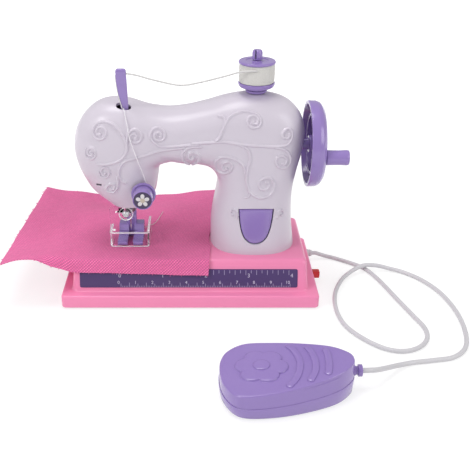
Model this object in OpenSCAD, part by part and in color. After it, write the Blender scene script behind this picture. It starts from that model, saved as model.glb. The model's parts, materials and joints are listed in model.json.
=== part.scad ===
// Toy sewing machine with a foot pedal, made of separate pieces in one frame.
// Millimetres. +Z is up, +X points to the hand wheel, +Y points away from the needle side.
// The origin is on the table, under the middle of the base.

/* [Fit] */
// Gap between faces that move past each other
move_gap = 0.3; // [0.25:0.05:0.4]
// Radial gap of a shaft or pin that turns
run_gap = 0.05; // [0.03:0.01:0.08]
// Radial gap of a piece fixed on its shaft
seat_gap = 0.02; // [0.01:0.01:0.04]
// Length by which a cut runs past the face that it opens
overrun = 1; // [0.5:0.5:1.5]

/* [Base] */
// Width of the plinth
base_w = 152; // [150:1:156]
// Depth of the plinth
base_d = 77; // [76:1:80]
// Top of the plinth above the table
plinth_top = 8.7; // [8.5:0.1:9.2]
// Height of the rubber feet
foot_h = 0.8; // [0.6:0.1:1]
// Radius of the rubber feet
foot_r = 5; // [4:0.5:6]
// Top of the deck above the table
deck_top = 26.7; // [26.5:0.1:27]
// Ledge of the plinth at each side of the deck
deck_ledge = 6; // [5.8:0.1:6.2]
// Width lost to draft between the foot and the top of the deck
deck_draft = 2.6; // [2:0.1:3]
// Distance from the middle to the front of the deck at its foot
deck_front = 32.3; // [32:0.1:33]
// Distance from the middle to the front of the deck at its top
deck_front_top = 26.4; // [26.2:0.1:26.8]
// Distance from the middle to the back of the deck
deck_back = 33; // [32.5:0.1:33.5]
// Corner radius of the base in plan
base_corner = 2.8; // [2.6:0.1:3]
// Radius of the deck's top edge
deck_edge = 2.2; // [1.8:0.2:2.4]
// Radius of the plinth's edges
plinth_edge = 0.9; // [0.6:0.1:1.2]
// Wall thickness of the base
base_wall = 2; // [1.8:0.1:2.2]
// Thickness of the base plate
plate_t = 2.4; // [2.2:0.1:2.6]
// Thickness of the battery door
door_t = 1.1; // [1:0.1:1.2]
// Radius of a screw post
post_r = 3.4; // [3:0.2:3.6]
// Radius of a screw shank
screw_r = 1.3; // [1.2:0.1:1.4]
// Radius of a screw head
screw_head_r = 2.4; // [2.2:0.1:2.6]
// Thickness of a screw head
screw_head_t = 1.2; // [1:0.1:1.4]
// Length of a base screw below its head
base_screw_l = 9; // [8:0.5:10]
// Length of the ruler strip
ruler_w = 128.7; // [126:0.1:130]
// Height of the ruler strip along the slope
ruler_h = 11; // [10.5:0.1:11.5]
// Thickness of the ruler strip
ruler_t = 0.4; // [0.3:0.1:0.5]

/* [Power] */
// Radius of a cell
cell_r = 7.1; // [7:0.05:7.2]
// Length of a cell
cell_l = 49; // [48.5:0.5:49.5]
// Radius of a cell's nub
nub_r = 2.7; // [2.5:0.1:3]
// Length of a cell's nub
nub_l = 1; // [0.8:0.1:1.2]
// Distance of the cells from the deck's right side
cell_inset = 7.4; // [7.2:0.1:7.5]
// Front row of cells, before the middle
cell_front = 18.8; // [18.5:0.1:19]
// Back row of cells, behind the middle
cell_back = 18.2; // [18:0.1:18.4]
// Thickness of a contact
contact_t = 0.5; // [0.4:0.1:0.6]
// Width and height of a contact
contact_w = 9; // [8:0.5:10]
// Width of the power switch knob
switch_w = 4.4; // [4:0.2:4.8]
// Height of the power switch knob
switch_h = 4.2; // [4:0.1:4.4]
// Distance that the power switch knob stands out
switch_out = 4.2; // [3.8:0.2:4.6]
// Travel of the power switch
switch_travel = 4; // [3:0.5:4]
// Place of the power switch before the middle
switch_y = 7.7; // [7:0.1:8.5]
// Middle height of the power switch
switch_z = 5.6; // [5.5:0.1:5.8]
// Depth of the box behind the power switch
switch_box_d = 7; // [6:0.5:8]

/* [Body] */
// Middle plane of the body, behind the middle of the base
body_y = 3; // [2.8:0.1:3.2]
// Width that the body outline's shares follow
body_w = 134; // [133:0.5:135]
// Height that the body outline's shares follow
body_h = 93; // [92.5:0.1:93.5]
// Half depth of the body at the foot of its column
body_half_d = 23.4; // [23:0.1:23.8]
// Wall of the body shells
shell_wall = 1.8; // [1.7:0.1:1.9]
// Length of a body screw below its head
body_screw_l = 9; // [8:0.5:9]
// Width of the hole for the take-up lever
lever_hole_w = 8.5; // [8.3:0.1:9]
// Depth of the hole for the take-up lever
lever_hole_d = 6; // [5.5:0.1:6.5]
// Width of the thread slot in the head
slot_w = 3.4; // [3.2:0.1:3.6]
// Height of the thread slot in the head
slot_h = 1.3; // [1.2:0.1:1.4]
// Distance of the thread slot from the left end of the body's width
slot_in = 14; // [13:0.5:15]
// Height of the thread slot above the table
slot_z = 68.5; // [68:0.5:69]

/* [Drive] */
// Height of the main shaft above the table
shaft_z = 88.4; // [88.2:0.1:88.6]
// Radius of the main shaft
shaft_r = 2; // [1.9:0.05:2.1]
// Distance of the main shaft's left end from the needle
shaft_gap = 6.5; // [6.3:0.1:6.7]
// Module of the gears
gear_module = 0.8; // [0.79:0.01:0.81]
// Play between meshing teeth
gear_play = 0.2; // [0.15:0.05:0.25]
// Face width of a gear
gear_w = 3; // [2.8:0.1:3.1]
// Distance of the idler before the main shaft
idler_dy = 5; // [4.8:0.1:5.2]
// Distance of the motor behind the idler
motor_dy = 15.5; // [15.4:0.1:15.6]
// Radius of the idler's axle
axle_r = 1.5; // [1.4:0.1:1.6]
// Radius of the motor can
motor_r = 7.1; // [7:0.1:7.2]
// Radius of the motor's shaft
motor_shaft_r = 1; // [0.9:0.1:1.1]
// Gap between the belt and the left plate of the chassis
belt_gap = 1.7; // [1.6:0.1:1.8]
// Thickness of the chassis plates
frame_t = 1.8; // [1.6:0.1:1.9]
// Room for the gears between the chassis plate and the gear cover
gear_room = 9.8; // [9.7:0.1:9.9]
// Front edge of the chassis before the middle
frame_front = 10; // [9.5:0.5:10]
// Back edge of the chassis behind the middle
frame_back = 18; // [17.5:0.5:18]
// Distance of the gear cover's left face from the wall of the column
cover_in = 4.25; // [4.15:0.05:4.35]
// Thickness of the gear cover
cover_t = 1.4; // [1.2:0.1:1.5]
// Distance of the belt from the wall of the column
belt_in = 1.3; // [1.25:0.05:1.5]
// Width of the belt
belt_w = 2.6; // [2.4:0.1:2.7]
// Thickness of the belt
belt_t = 0.7; // [0.6:0.1:0.8]
// Radius of a belt pulley
pulley_r = 6; // [5.8:0.1:6.1]
// Radius of a pulley's flange
flange_r = 7.4; // [7.2:0.1:7.5]
// Thickness of a pulley's flange
flange_t = 0.6; // [0.5:0.1:0.7]
// Height of the lower shaft above the table
lower_z = 14; // [13.9:0.1:14.1]
// Radius of the lower shaft
lower_r = 1.5; // [1.4:0.1:1.6]
// Distance of the lower shaft's left end from the needle
lower_side = 9.5; // [9:0.5:9.5]
// Reach of the looper's hook
looper_r = 5.6; // [5.2:0.2:5.8]
// Thickness of the looper
looper_t = 1.4; // [1.2:0.1:1.5]

/* [Hand wheel] */
// Radius of the hand wheel
wheel_r = 25.2; // [24.5:0.1:25.5]
// Gap between the body and the rim of the hand wheel
wheel_gap = 2; // [2:0.1:2.4]
// Width of the hand wheel
wheel_t = 8.8; // [8.6:0.1:9.2]
// Radius lost to the bevel at the outer face
wheel_bevel = 3.4; // [3:0.2:3.8]
// Wall of the hand wheel
wheel_wall = 2.2; // [2:0.1:2.4]
// Radius of the hub
hub_r = 5; // [4.6:0.2:5.4]
// Radius of the crank pin's circle
crank_r = 17; // [16.5:0.1:17.5]
// Angle of the crank pin below the shaft, seen from the wheel's side
crank_angle = 8; // [6:1:10]
// Radius of the ring rib
rib_r = 17; // [16.8:0.1:17.2]
// Radius of the crank handle
handle_r = 4.4; // [4.2:0.1:4.6]
// Length of the crank handle
handle_l = 13; // [12.5:0.5:14]
// Radius of the pin in the crank handle
handle_pin_r = 2; // [1.9:0.1:2.1]

/* [Needle] */
// Place of the needle, left of the middle, as a share of the body's width
needle_share = 0.2724; // [0.2716:0.0004:0.2732]
// Stroke of the needle
stroke = 14; // [13.6:0.2:14]
// Radius of the needle bar
bar_r = 1.75; // [1.7:0.05:1.8]
// Bottom of the needle bar at the top of its stroke
bar_bottom = 46; // [45.8:0.1:46.2]
// Radius of the needle
needle_r = 0.55; // [0.5:0.05:0.6]
// Tip of the needle at the top of its stroke
needle_tip = 33.5; // [33.2:0.1:33.8]
// Radius of the needle clamp
clamp_r = 3.1; // [3:0.1:3.2]
// Height of the needle clamp
clamp_h = 6; // [5.5:0.5:6]
// Height of the yoke
yoke_h = 6; // [5.8:0.1:6]
// Front face of the yoke, before the middle
yoke_front = 5; // [4.9:0.1:5.1]
// Radius of the crank disc
disc_r = 9; // [8.8:0.1:9.2]
// Thickness of the crank disc
disc_t = 2; // [1.8:0.1:2.2]
// Radius of the crank disc's pin
disc_pin_r = 1.3; // [1.2:0.1:1.4]
// Length of the crank disc's pin
disc_pin_l = 2.3; // [2.1:0.1:2.3]
// Top of the take-up lever
lever_top = 135.3; // [134.5:0.1:136]
// Width of the take-up lever at its foot
lever_foot_w = 4.2; // [4:0.1:4.4]
// Width of the take-up lever at its top
lever_top_w = 6; // [5.6:0.1:6.2]
// Thickness of the take-up lever
lever_t = 2.5; // [2.3:0.1:2.6]
// Distance that the lever's top leans left
lever_lean = 1.6; // [1.4:0.1:1.8]
// Radius of the lever's thread eye
eye_r = 0.9; // [0.8:0.1:1]

/* [Head chassis] */
// Front face of the chassis beam in the arm, behind the middle
beam_y = 11.5; // [11.4:0.1:11.6]
// Thickness of the chassis beam
beam_t = 2; // [1.9:0.1:2]
// Bottom of the chassis beam
beam_z = 93; // [92.8:0.1:93.2]
// Height of the chassis beam
beam_h = 10; // [9.6:0.2:10]
// Bottom of the lower bar guide
guide_low = 58; // [57.9:0.1:58.1]
// Bottom of the upper bar guide
guide_high = 73.6; // [73.5:0.1:73.7]
// Thickness of a bar guide
guide_t = 2.5; // [2.4:0.1:2.6]

/* [Presser] */
// Place of the presser bar behind the middle
presser_y = 8; // [7.9:0.1:8.1]
// Radius of the presser bar
presser_r = 1.5; // [1.45:0.05:1.55]
// Top of the presser bar
presser_top = 90; // [89:0.5:90]
// Radius of the collar on the presser bar
collar_r = 3; // [2.8:0.1:3.1]
// Radius of the presser spring
spring_r = 2.6; // [2.5:0.1:2.7]
// Width of the presser foot
presser_w = 15.2; // [14.8:0.2:15.4]
// Width of the slot between the toes
toe_slot = 3.4; // [3.2:0.1:3.6]
// Front of the toes before the middle
toe_front = 10; // [9.5:0.5:10]
// Thickness of the toes
toe_t = 3; // [2.8:0.1:3.2]
// Top of the presser foot's block
presser_block_top = 35.5; // [35:0.1:36]
// Top of the presser foot's shank
presser_shank_top = 44; // [43.5:0.5:44]
// Height of the lifter's axis
lifter_z = 79.5; // [79.4:0.1:79.6]
// Distance of the lifter's axis from the needle
lifter_side = 5.5; // [5.4:0.1:5.6]
// Radius of the lifter's shaft
lifter_r = 1.6; // [1.5:0.1:1.7]
// Radius of the lifter's cam
cam_r = 3; // [2.9:0.1:3]
// Throw of the lifter's cam
cam_throw = 3; // [2.8:0.1:3]
// Length of the lifter's lever
lifter_l = 17; // [15:1:18]
// Distance of the finger guard's left edge from the needle
guard_side = 11.9; // [11.7:0.1:12.1]
// Width of the finger guard
guard_w = 23.6; // [23.4:0.1:23.8]
// Front of the finger guard before the middle
guard_front = 12; // [11.8:0.1:12.2]
// Depth of the finger guard's right wall
guard_d = 23.7; // [23.5:0.1:24.5]
// Depth of the finger guard's left wall
guard_left_d = 13; // [12.8:0.1:13.4]
// Top of the finger guard's walls
guard_top = 37.2; // [37:0.1:37.4]
// Wall of the finger guard
guard_wall = 1.2; // [1.1:0.1:1.3]
// Radius of the finger guard's boss
boss_r = 4.3; // [4.1:0.1:4.3]
// Height of the finger guard's boss
boss_z = 47.4; // [47.2:0.1:47.5]

/* [Stitch] */
// Width of the needle plate
needle_plate_w = 36; // [35:0.5:36]
// Depth of the needle plate
needle_plate_d = 30; // [29:0.5:30]
// Thickness of the needle plate
needle_plate_t = 1.2; // [1.1:0.1:1.3]
// Radius of the hole for the needle
needle_hole_r = 1.2; // [1.1:0.1:1.3]
// Travel of the feed dog each way
feed_travel = 1.5; // [1.3:0.1:1.5]
// Length of the feed dog's rails
feed_l = 9; // [8.5:0.5:9]
// Width of a feed dog rail
feed_rail_w = 1.6; // [1.5:0.1:1.7]
// Thickness of the cloth
cloth_t = 0.6; // [0.5:0.1:0.7]
// Width of the cloth
cloth_w = 121.5; // [120:0.5:123]
// Length of the cloth
cloth_l = 114; // [113:0.5:115]

/* [Spool and dial] */
// Place of the spool, right of the middle, as a share of the body's width
spool_share = 0.2806; // [0.279:0.0004:0.282]
// Radius of the spool's flanges
spool_r = 10.5; // [10.3:0.1:10.7]
// Bottom of the spool
spool_z = 124; // [123.9:0.1:124.2]
// Thickness of the spool's flanges
spool_flange_t = 1.5; // [1.4:0.1:1.6]
// Depth of the dish under the spool's bottom flange
dish_h = 2.6; // [2.4:0.1:2.8]
// Height between the spool's flanges
spool_gap = 10.6; // [10.4:0.1:10.8]
// Radius of the spool's barrel
barrel_r = 4; // [3.8:0.1:4.2]
// Radius of the wound core
wound_r = 9.5; // [9.4:0.1:9.6]
// Radius of the sewing thread
thread_r = 0.27; // [0.26:0.005:0.275]
// Pitch of the wound thread
thread_pitch = 0.98; // [0.97:0.01:0.99]
// Radius of the spool pin
spool_pin_r = 2; // [1.9:0.1:2.1]
// Radius of the spool pin's knob
knob_r = 2.75; // [2.6:0.05:2.9]
// Top of the spool pin
spool_pin_top = 143.5; // [143:0.1:144]
// Radius of the spool pin's foot
pin_foot_r = 5.2; // [5:0.1:5.4]
// Height at which the spool pin's foot meets the body
pin_foot_z = 119.9; // [119.8:0.1:120.2]
// Place of the tension dial, left of the middle, as a share of the body's width
dial_share = 0.2022; // [0.2006:0.0004:0.2038]
// Height of the tension dial
dial_z = 63.9; // [63.7:0.1:64.1]
// Radius of the dial's seat
dial_seat_r = 7.2; // [7:0.1:7.3]
// Radius of the dial's knob
dial_r = 5.9; // [5.7:0.1:6.1]
// Length of the dial's knob
dial_l = 7.9; // [7.7:0.1:8.1]
// Back face of the dial's seat, before the middle
dial_seat_y = 14.6; // [14.4:0.1:14.8]
// Thickness of the dial's seat
dial_seat_t = 1.6; // [1.5:0.1:1.7]
// Radius of the dial's boss in the shell
dial_boss_r = 3; // [2.9:0.1:3.1]

/* [Drawer] */
// Shift of the drawer to the right, as a share of the room beside its tray
drawer_share = 0.2586; // [0.24:0.01:0.28]
// Width of the drawer's front
drawer_w = 19.8; // [19.4:0.1:20]
// Top of the drawer's front
drawer_top = 56; // [55.6:0.1:56]
// Tip of the drawer's front
drawer_tip = 33.9; // [33.9:0.1:34.2]
// Face of the drawer's front, before the middle
drawer_face = 19.8; // [19.6:0.1:20]
// Thickness of the drawer's front
drawer_t = 2.6; // [2.4:0.1:2.8]
// Width of the drawer's tray
tray_w = 13; // [12.6:0.1:13.2]
// Depth of the drawer's tray
tray_d = 25; // [24:0.5:25.5]
// Bottom of the drawer's tray
tray_z = 41.2; // [41:0.1:41.4]
// Height of the drawer's tray
tray_h = 11; // [10.6:0.2:11.2]
// Wall of the drawer's tray
tray_wall = 1.3; // [1.2:0.1:1.4]

/* [Pedal] */
// Length of the pedal
pedal_l = 67.2; // [66:0.2:68]
// Width of the pedal
pedal_w = 41.6; // [41:0.2:42.4]
// Middle of the pedal, right of the middle of the base
pedal_x = 48.4; // [48:0.1:48.8]
// Middle of the pedal before the middle of the base
pedal_y = 115.6; // [115:0.1:116]
// Height of the tread at the toe end
toe_h = 12.6; // [12.4:0.1:13]
// Height of the tread at the cord end
heel_h = 18; // [17.8:0.1:18.2]
// Rim of the tread at the toe end
toe_rim = 7.4; // [7.3:0.1:7.5]
// Rim of the tread at the cord end
heel_rim = 9.4; // [9.3:0.1:9.5]
// Room under the rim at the toe end
toe_room = 1.8; // [1.7:0.1:1.9]
// Wall of the pedal
pedal_wall = 1.5; // [1.4:0.1:1.6]
// Radius of the tread's edge
tread_edge = 1.6; // [1.4:0.1:1.8]
// Distance of the hinge from the cord end
hinge_in = 9.4; // [9.2:0.1:9.6]
// Height of the hinge
hinge_z = 9; // [8.9:0.1:9.1]
// Radius of the hinge pin
hinge_r = 1; // [0.9:0.1:1.1]
// Length of the hinge pin
hinge_l = 10.4; // [10:0.2:10.6]

/* [Cord] */
// Radius of the cord
cord_r = 1.3; // [1.2:0.05:1.35]
// Radius of the cord bushes
gland_r = 2.7; // [2.6:0.1:2.8]
// Length that the base's cord bush stands out
gland_out = 3.5; // [3.2:0.1:3.5]
// Place of the base's cord bush behind the middle
gland_y = 23.7; // [23.5:0.1:24]
// Height of the base's cord bush
gland_z = 4.6; // [4.5:0.1:4.7]
// End of the pedal's cord bush, right of the middle of the base
pedal_gland_end = 86.5; // [86.4:0.1:86.6]
// Place of the pedal's cord bush before the middle of the base
pedal_gland_y = 112; // [111.9:0.1:112.1]
// Height of the pedal's cord bush
pedal_gland_z = 10.6; // [10.5:0.1:10.7]

/* [Hidden] */
$fn = 64;

pink = [0.9, 0.45, 0.66];
white = [0.85, 0.82, 0.87];
purple = [0.56, 0.46, 0.72];
dark = [0.26, 0.2, 0.36];
steel = [0.7, 0.7, 0.72];
clear = [0.85, 0.88, 0.92];
black = [0.15, 0.15, 0.16];
red = [0.75, 0.08, 0.1];
thread_white = [0.93, 0.93, 0.93];
cord_grey = [0.8, 0.8, 0.82];
cloth_pink = [0.84, 0.42, 0.63];

// A point of a smooth curve between p1 and p2
function blend4(p0, p1, p2, p3, s) =
    p1 + s / 2 * (p2 - p0 + s * (2 * p0 - 5 * p1 + 4 * p2 - p3 + s * (3 * (p1 - p2) + p3 - p0)));
// An open smooth curve at place t, counted in points
function curve_at(p, t) =
    let (last = len(p) - 1, i = min(floor(t), last - 1), s = t - i)
    blend4(p[max(i - 1, 0)], p[i], p[i + 1], p[min(i + 2, last)], s);
function open_curve(p, steps) = [for (k = [0:(len(p) - 1) * steps]) curve_at(p, k / steps)];
function closed_curve(p, steps) = let (n = len(p)) [for (i = [0:n - 1], k = [0:steps - 1])
    blend4(p[(i + n - 1) % n], p[i], p[(i + 1) % n], p[(i + 2) % n], k / steps)];
function unit(v) = v / norm(v);
function flat_list(l) = [for (a = l, b = a) b];

// The faces of a skin over n rings of m points, in either turning sense
function side_faces(n, m) = [for (i = [0:n - 2], j = [0:m - 1], half = [0, 1])
    let (a = i * m + j, b = i * m + (j + 1) % m, c = a + m, d = b + m)
    half == 0 ? [a, c, b] : [b, c, d]];
module skin(rings) {
    m = len(rings[0]);
    n = len(rings);
    polyhedron(points = flat_list(rings), faces = concat(side_faces(n, m),
        [[for (j = [0:m - 1]) j]], [[for (j = [0:m - 1]) n * m - 1 - j]]));
}
// A skin whose section is a band: m points out along one side and m back along the other
module band_skin(rings) {
    m = len(rings[0]);
    n = len(rings);
    last = (n - 1) * m;
    polyhedron(points = flat_list(rings), faces = concat(side_faces(n, m),
        [for (j = [0:m / 2 - 2], half = [0, 1]) half == 0 ? [j, j + 1, m - 1 - j] : [j + 1, m - 2 - j,
            m - 1 - j]],
        [for (j = [0:m / 2 - 2], half = [0, 1])
            half == 0 ? [last + j, last + m - 1 - j, last + j + 1]
            : [last + j + 1, last + m - 1 - j, last + m - 2 - j]]));
}
// A round tube along points
module tube(p, r, sides) {
    last = len(p) - 1;
    skin([for (i = [0:last])
        let (t = unit(p[min(i + 1, last)] - p[max(i - 1, 0)]), up = abs(t[2]) < 0.9 ? [0, 0, 1] : [0, 1, 0],
            a = unit(cross(up, t)), b = cross(t, a))
        [for (k = [0:sides - 1]) p[i] + r * (cos(360 * k / sides) * a + sin(360 * k / sides) * b)]]);
}
// A rounded rectangle in plan at height z
corner_steps = 5;
function plan(x0, x1, y0, y1, r) = [for (c = [[x1, y1, 0, -1, -1], [x0, y1, 1, 1, -1], [x0, y0, 2, 1, 1],
    [x1, y0, 3, -1, 1]],
    k = [0:corner_steps]) let (a = 90 * (c[2] + k / corner_steps))
    [c[0] + c[3] * r + r * cos(a), c[1] + c[4] * r + r * sin(a)]];
function raise(p, z) = [for (q = p) [q[0], q[1], z]];
// Shapes laid along an axis: the local z runs along +X, -Y or +Y
module along_x(at) translate(at) rotate([90, 0, 90]) children();
module to_front(at) translate(at) rotate([90, 0, 0]) children();
module to_back(at) translate(at) rotate([-90, 0, 0]) children();
module box(low, high) translate(low) cube(high - low);

// Places across the body: in the head they follow the needle, in the column its walls
throat_share = 0.12;
foot_share = 0.0925;
wall_share = 0.469;
right_share = 0.494;
slot_x = body_w / 2 - slot_in;
needle_x = needle_share * body_w;
dial_x = dial_share * body_w;
spool_x = spool_share * body_w;
lifter_x = needle_x + lifter_side;
guard_left = needle_x + guard_side;
shaft_left = needle_x - shaft_gap;
lower_left = needle_x + lower_side;
belt_x = throat_share * body_w + shell_wall + belt_in;
frame_left = belt_x + belt_w + belt_gap;
cover_x = wall_share * body_w - shell_wall - cover_in;
gear_plate_x = cover_x - gear_room;
wheel_x = right_share * body_w + wheel_gap;
tray_room = gear_plate_x - frame_left - frame_t;
drawer_x = gear_plate_x - tray_room / 2 + drawer_share * (tray_room - tray_w);

// Base
plate_top = foot_h + plate_t;
deck_w = base_w - 2 * deck_ledge;
cell_x = deck_w / 2 - cell_inset - cell_l;
ceiling = deck_top - base_wall;
deck_slope = atan2(deck_top - plinth_top, deck_front - deck_front_top);
function deck_front_at(z) = deck_front - (z - plinth_top) / tan(deck_slope);
function deck_half_at(z) = deck_w / 2 - deck_draft / 2 * (z - plinth_top) / (deck_top - plinth_top);
function plinth_ring(in, z) =
    raise(plan(-base_w / 2 + in, base_w / 2 - in, -base_d / 2 + in, base_d / 2 - in, base_corner - in), z);
function deck_ring(in, z) = raise(plan(-deck_half_at(z) + in, deck_half_at(z) - in,
    -deck_front_at(z) + in, deck_back - in, base_corner - in), z);
edge_share = 0.3;
door_lip = 1.2 * base_wall;
post_row_share = [-0.53, 0.7];
post_left_share = -0.8;
post_right = cell_x - 3 * contact_t - door_lip - base_wall - post_r;
posts = [for (x = [post_left_share * base_w / 2, post_right], s = post_row_share) [x, s * base_d / 2, 0]];
base_rings = [
    deck_ring(base_wall, ceiling), deck_ring(base_wall, plinth_top - base_wall),
    plinth_ring(base_wall, plinth_top - base_wall), plinth_ring(base_wall, foot_h),
    plinth_ring(plinth_edge, foot_h), plinth_ring(0, foot_h + plinth_edge),
    plinth_ring(0, plinth_top - plinth_edge), plinth_ring(plinth_edge, plinth_top),
    deck_ring(0, plinth_top), deck_ring(0, deck_top - deck_edge),
    deck_ring(deck_edge * edge_share, deck_top - deck_edge * edge_share), deck_ring(deck_edge, deck_top)];
needle_plate_low = [-needle_x - needle_plate_w / 2, -needle_plate_d * 13 / 30, deck_top - needle_plate_t];
needle_plate_high = needle_plate_low + [needle_plate_w, needle_plate_d, needle_plate_t];
shelf = 1.5 * base_wall;
belt_room = 2 * overrun;
switch_room = [0, move_gap, move_gap];

module base_shell() color(pink) difference() {
    union() {
        skin(base_rings);
        for (p = posts) translate(p + [0, 0, plate_top])
            cylinder(r = post_r, h = ceiling - plate_top + overrun);
    }
    for (p = posts) translate(p + [0, 0, plate_top - overrun]) cylinder(r = screw_r + seat_gap,
        h = base_screw_l);
    box(needle_plate_low - [seat_gap, seat_gap, 0], needle_plate_high + [seat_gap, seat_gap, overrun]);
    box(needle_plate_low + [shelf, shelf, -base_wall], needle_plate_high - [shelf, shelf, 0]);
    box([belt_x - belt_room, body_y - flange_r - overrun, ceiling - overrun],
        [belt_x + belt_w + overrun, body_y + flange_r + overrun, deck_top + overrun]);
    box([base_w / 2 - base_wall - overrun, -switch_y, switch_z - switch_h / 2] - switch_room,
        [base_w / 2 + overrun, -switch_y + switch_w + switch_travel, switch_z + switch_h / 2] +
            switch_room);
    along_x([base_w / 2 - base_wall - overrun, gland_y, gland_z])
        cylinder(r = gland_r + seat_gap, h = base_wall + 2 * overrun);
}

// Base plate, battery bay and feet
bay_low = [cell_x - 2 * contact_t, -cell_front - cell_r - overrun, foot_h];
bay_high = [cell_x + cell_l + nub_l + contact_t, cell_back + cell_r + overrun, foot_h];
cell_z = plate_top + cell_r - foot_h;
door_mid = [(bay_low[0] + bay_high[0]) / 2, body_y / 3, foot_h];
bay_wall_h = 11 / 7 * cell_r;
plate_in = base_wall + move_gap;
module base_plate() color(pink) difference() {
    union() {
        translate([0, 0, foot_h]) linear_extrude(plate_t)
            polygon(plan(-base_w / 2 + plate_in, base_w / 2 - plate_in, -base_d / 2 + plate_in,
                base_d / 2 - plate_in,
                base_corner - base_wall));
        for (y = [-cell_front, cell_back]) {
            box([bay_low[0] - contact_t - base_wall, y - cell_r, foot_h], [bay_low[0] - contact_t, y +
                cell_r, bay_wall_h]);
            box([bay_high[0] + contact_t, y - cell_r, foot_h], [bay_high[0] + contact_t + base_wall, y +
                cell_r, bay_wall_h]);
        }
        translate(door_mid) cylinder(r = post_r, h = base_screw_l);
    }
    box(bay_low - [door_lip, door_lip, overrun], bay_high + [door_lip, door_lip, door_t + move_gap]);
    for (y = [-cell_front, cell_back])
        box([bay_low[0], y - cell_r - move_gap, foot_h - overrun], [bay_high[0], y + cell_r + move_gap,
            plate_top + overrun]);
    translate(door_mid - [0, 0, overrun]) cylinder(r = screw_r + seat_gap, h = base_screw_l);
    for (p = posts) translate(p - [0, 0, overrun]) {
        cylinder(r = screw_r + move_gap, h = plate_top + 2 * overrun);
        cylinder(r = screw_head_r + move_gap, h = foot_h + screw_head_t + overrun);
    }
}
module battery_door() color(pink) difference() {
    box(bay_low - [door_lip - move_gap, door_lip - move_gap, 0], bay_high + [door_lip - move_gap,
        door_lip - move_gap, door_t]);
    translate(door_mid - [0, 0, overrun]) cylinder(r = screw_r + move_gap, h = door_t + 2 * overrun);
}
module screw(l) {
    translate([0, 0, -screw_head_t]) cylinder(r = screw_head_r, h = screw_head_t);
    cylinder(r = screw_r, h = l);
}
door_screw_l = base_screw_l - 2 * overrun;
module base_screws() color(steel) {
    for (p = posts) translate(p + [0, 0, foot_h + screw_head_t]) screw(base_screw_l - 2 * overrun);
    translate(door_mid) difference() {
        translate([0, 0, -foot_h / 2]) cylinder(r = screw_head_r, h = foot_h / 2);
        translate([-screw_head_r, -contact_t / 2, -foot_h]) cube([2 * screw_head_r, contact_t,
            foot_h * 3 / 4]);
    }
    translate(door_mid) cylinder(r = screw_r, h = door_screw_l);
}
module batteries() color(dark) for (y = [-cell_front, cell_back]) along_x([cell_x, y, cell_z]) {
    cylinder(r = cell_r, h = cell_l);
    cylinder(r = nub_r, h = cell_l + nub_l);
}
module battery_contacts() color(steel) for (y = [-cell_front, cell_back]) {
    box([bay_low[0] - contact_t, y - contact_w / 2, cell_z - contact_w / 2], [bay_low[0], y +
        contact_w / 2, cell_z + contact_w / 2]);
    box([bay_high[0], y - contact_w / 2, cell_z - contact_w / 2],
        [bay_high[0] + contact_t, y + contact_w / 2, cell_z + contact_w / 2]);
}
foot_places = [[-0.88, -0.8], [-0.88, 0.8], [0.88, -0.8], [0.88, 0.8], [0, 0]];
module rubber_feet() color(black) for (s = foot_places)
    translate([s[0] * base_w / 2, s[1] * base_d / 2, 0]) cylinder(r = foot_r, h = foot_h);
ruler_low_share = 0.125;
ruler_shift_share = -0.0075;
module ruler_strip() color(dark) translate([ruler_shift_share * ruler_w, -deck_front, plinth_top])
    rotate([deck_slope, 0, 0])
    translate([-ruler_w / 2, ruler_low_share * (deck_top - plinth_top) / sin(deck_slope), 0])
        cube([ruler_w, ruler_h, ruler_t]);

// Power switch and cord bush
switch_flange = 2 * move_gap;
switch_back = base_w / 2 - base_wall;
module power_switch() color(red) {
    box([switch_back - move_gap, -switch_y, switch_z - switch_h / 2], [base_w / 2 + switch_out,
        -switch_y + switch_w, switch_z + switch_h / 2]);
    box([switch_back - 3 * move_gap, -switch_y - switch_flange, switch_z - switch_h / 2],
        [switch_back - move_gap, -switch_y + switch_w + switch_flange, plinth_top - base_wall - move_gap]);
}
module switch_box() color(black) box([switch_back - 4 * move_gap - switch_box_d,
    -switch_y - switch_w / 2, plate_top],
    [switch_back - 4 * move_gap, -switch_y + switch_w * 3 / 2 + switch_travel,
        plinth_top - base_wall - seat_gap]);
module cord_gland() color(cord_grey) along_x([switch_back, gland_y, gland_z])
    cylinder(r = gland_r, h = base_wall + gland_out);

// Body outline: pairs of places across the section, outer then inner, then its half depth.
// Across is a share of body_w, up is a share of body_h above the deck, depth is a share of body_half_d.
sections_share = [
    [-0.353, 0.276, -0.19, 0.272, 0.5], [-0.43, 0.372, -0.155, 0.366, 0.63],
    [-0.467, 0.46, -0.143, 0.453, 0.72], [-0.494, 0.56, -0.136, 0.52, 0.78],
    [-0.504, 0.67, -0.126, 0.548, 0.82], [-0.489, 0.783, -0.107, 0.559, 0.83],
    [-0.45, 0.873, -0.088, 0.564, 0.83], [-0.395, 0.936, -0.07, 0.567, 0.82],
    [-0.334, 0.958, -0.052, 0.569, 0.81], [-0.27, 0.95, -0.038, 0.569, 0.8],
    [-0.19, 0.914, -0.022, 0.569, 0.79], [-0.104, 0.896, -0.006, 0.569, 0.79],
    [-0.02, 0.906, 0.013, 0.566, 0.79], [0.07, 0.936, 0.045, 0.556, 0.8],
    [0.155, 0.972, 0.08, 0.53, 0.82], [0.245, 0.994, 0.105, 0.496, 0.84],
    [0.33, 0.99, 0.118, 0.456, 0.86], [0.41, 0.955, 0.12, 0.415, 0.88],
    [0.467, 0.88, 0.116, 0.372, 0.9], [0.494, 0.775, 0.11, 0.325, 0.91],
    [0.489, 0.655, 0.103, 0.27, 0.92], [0.469, 0.52, 0.0965, 0.21, 0.94],
    [0.454, 0.375, 0.093, 0.15, 0.96], [0.455, 0.2, 0.0925, 0.08, 0.98], [0.472, 0, 0.0925, 0, 1]];
round_power = 2.5;
half_points = 13;
section_steps = 2;
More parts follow.
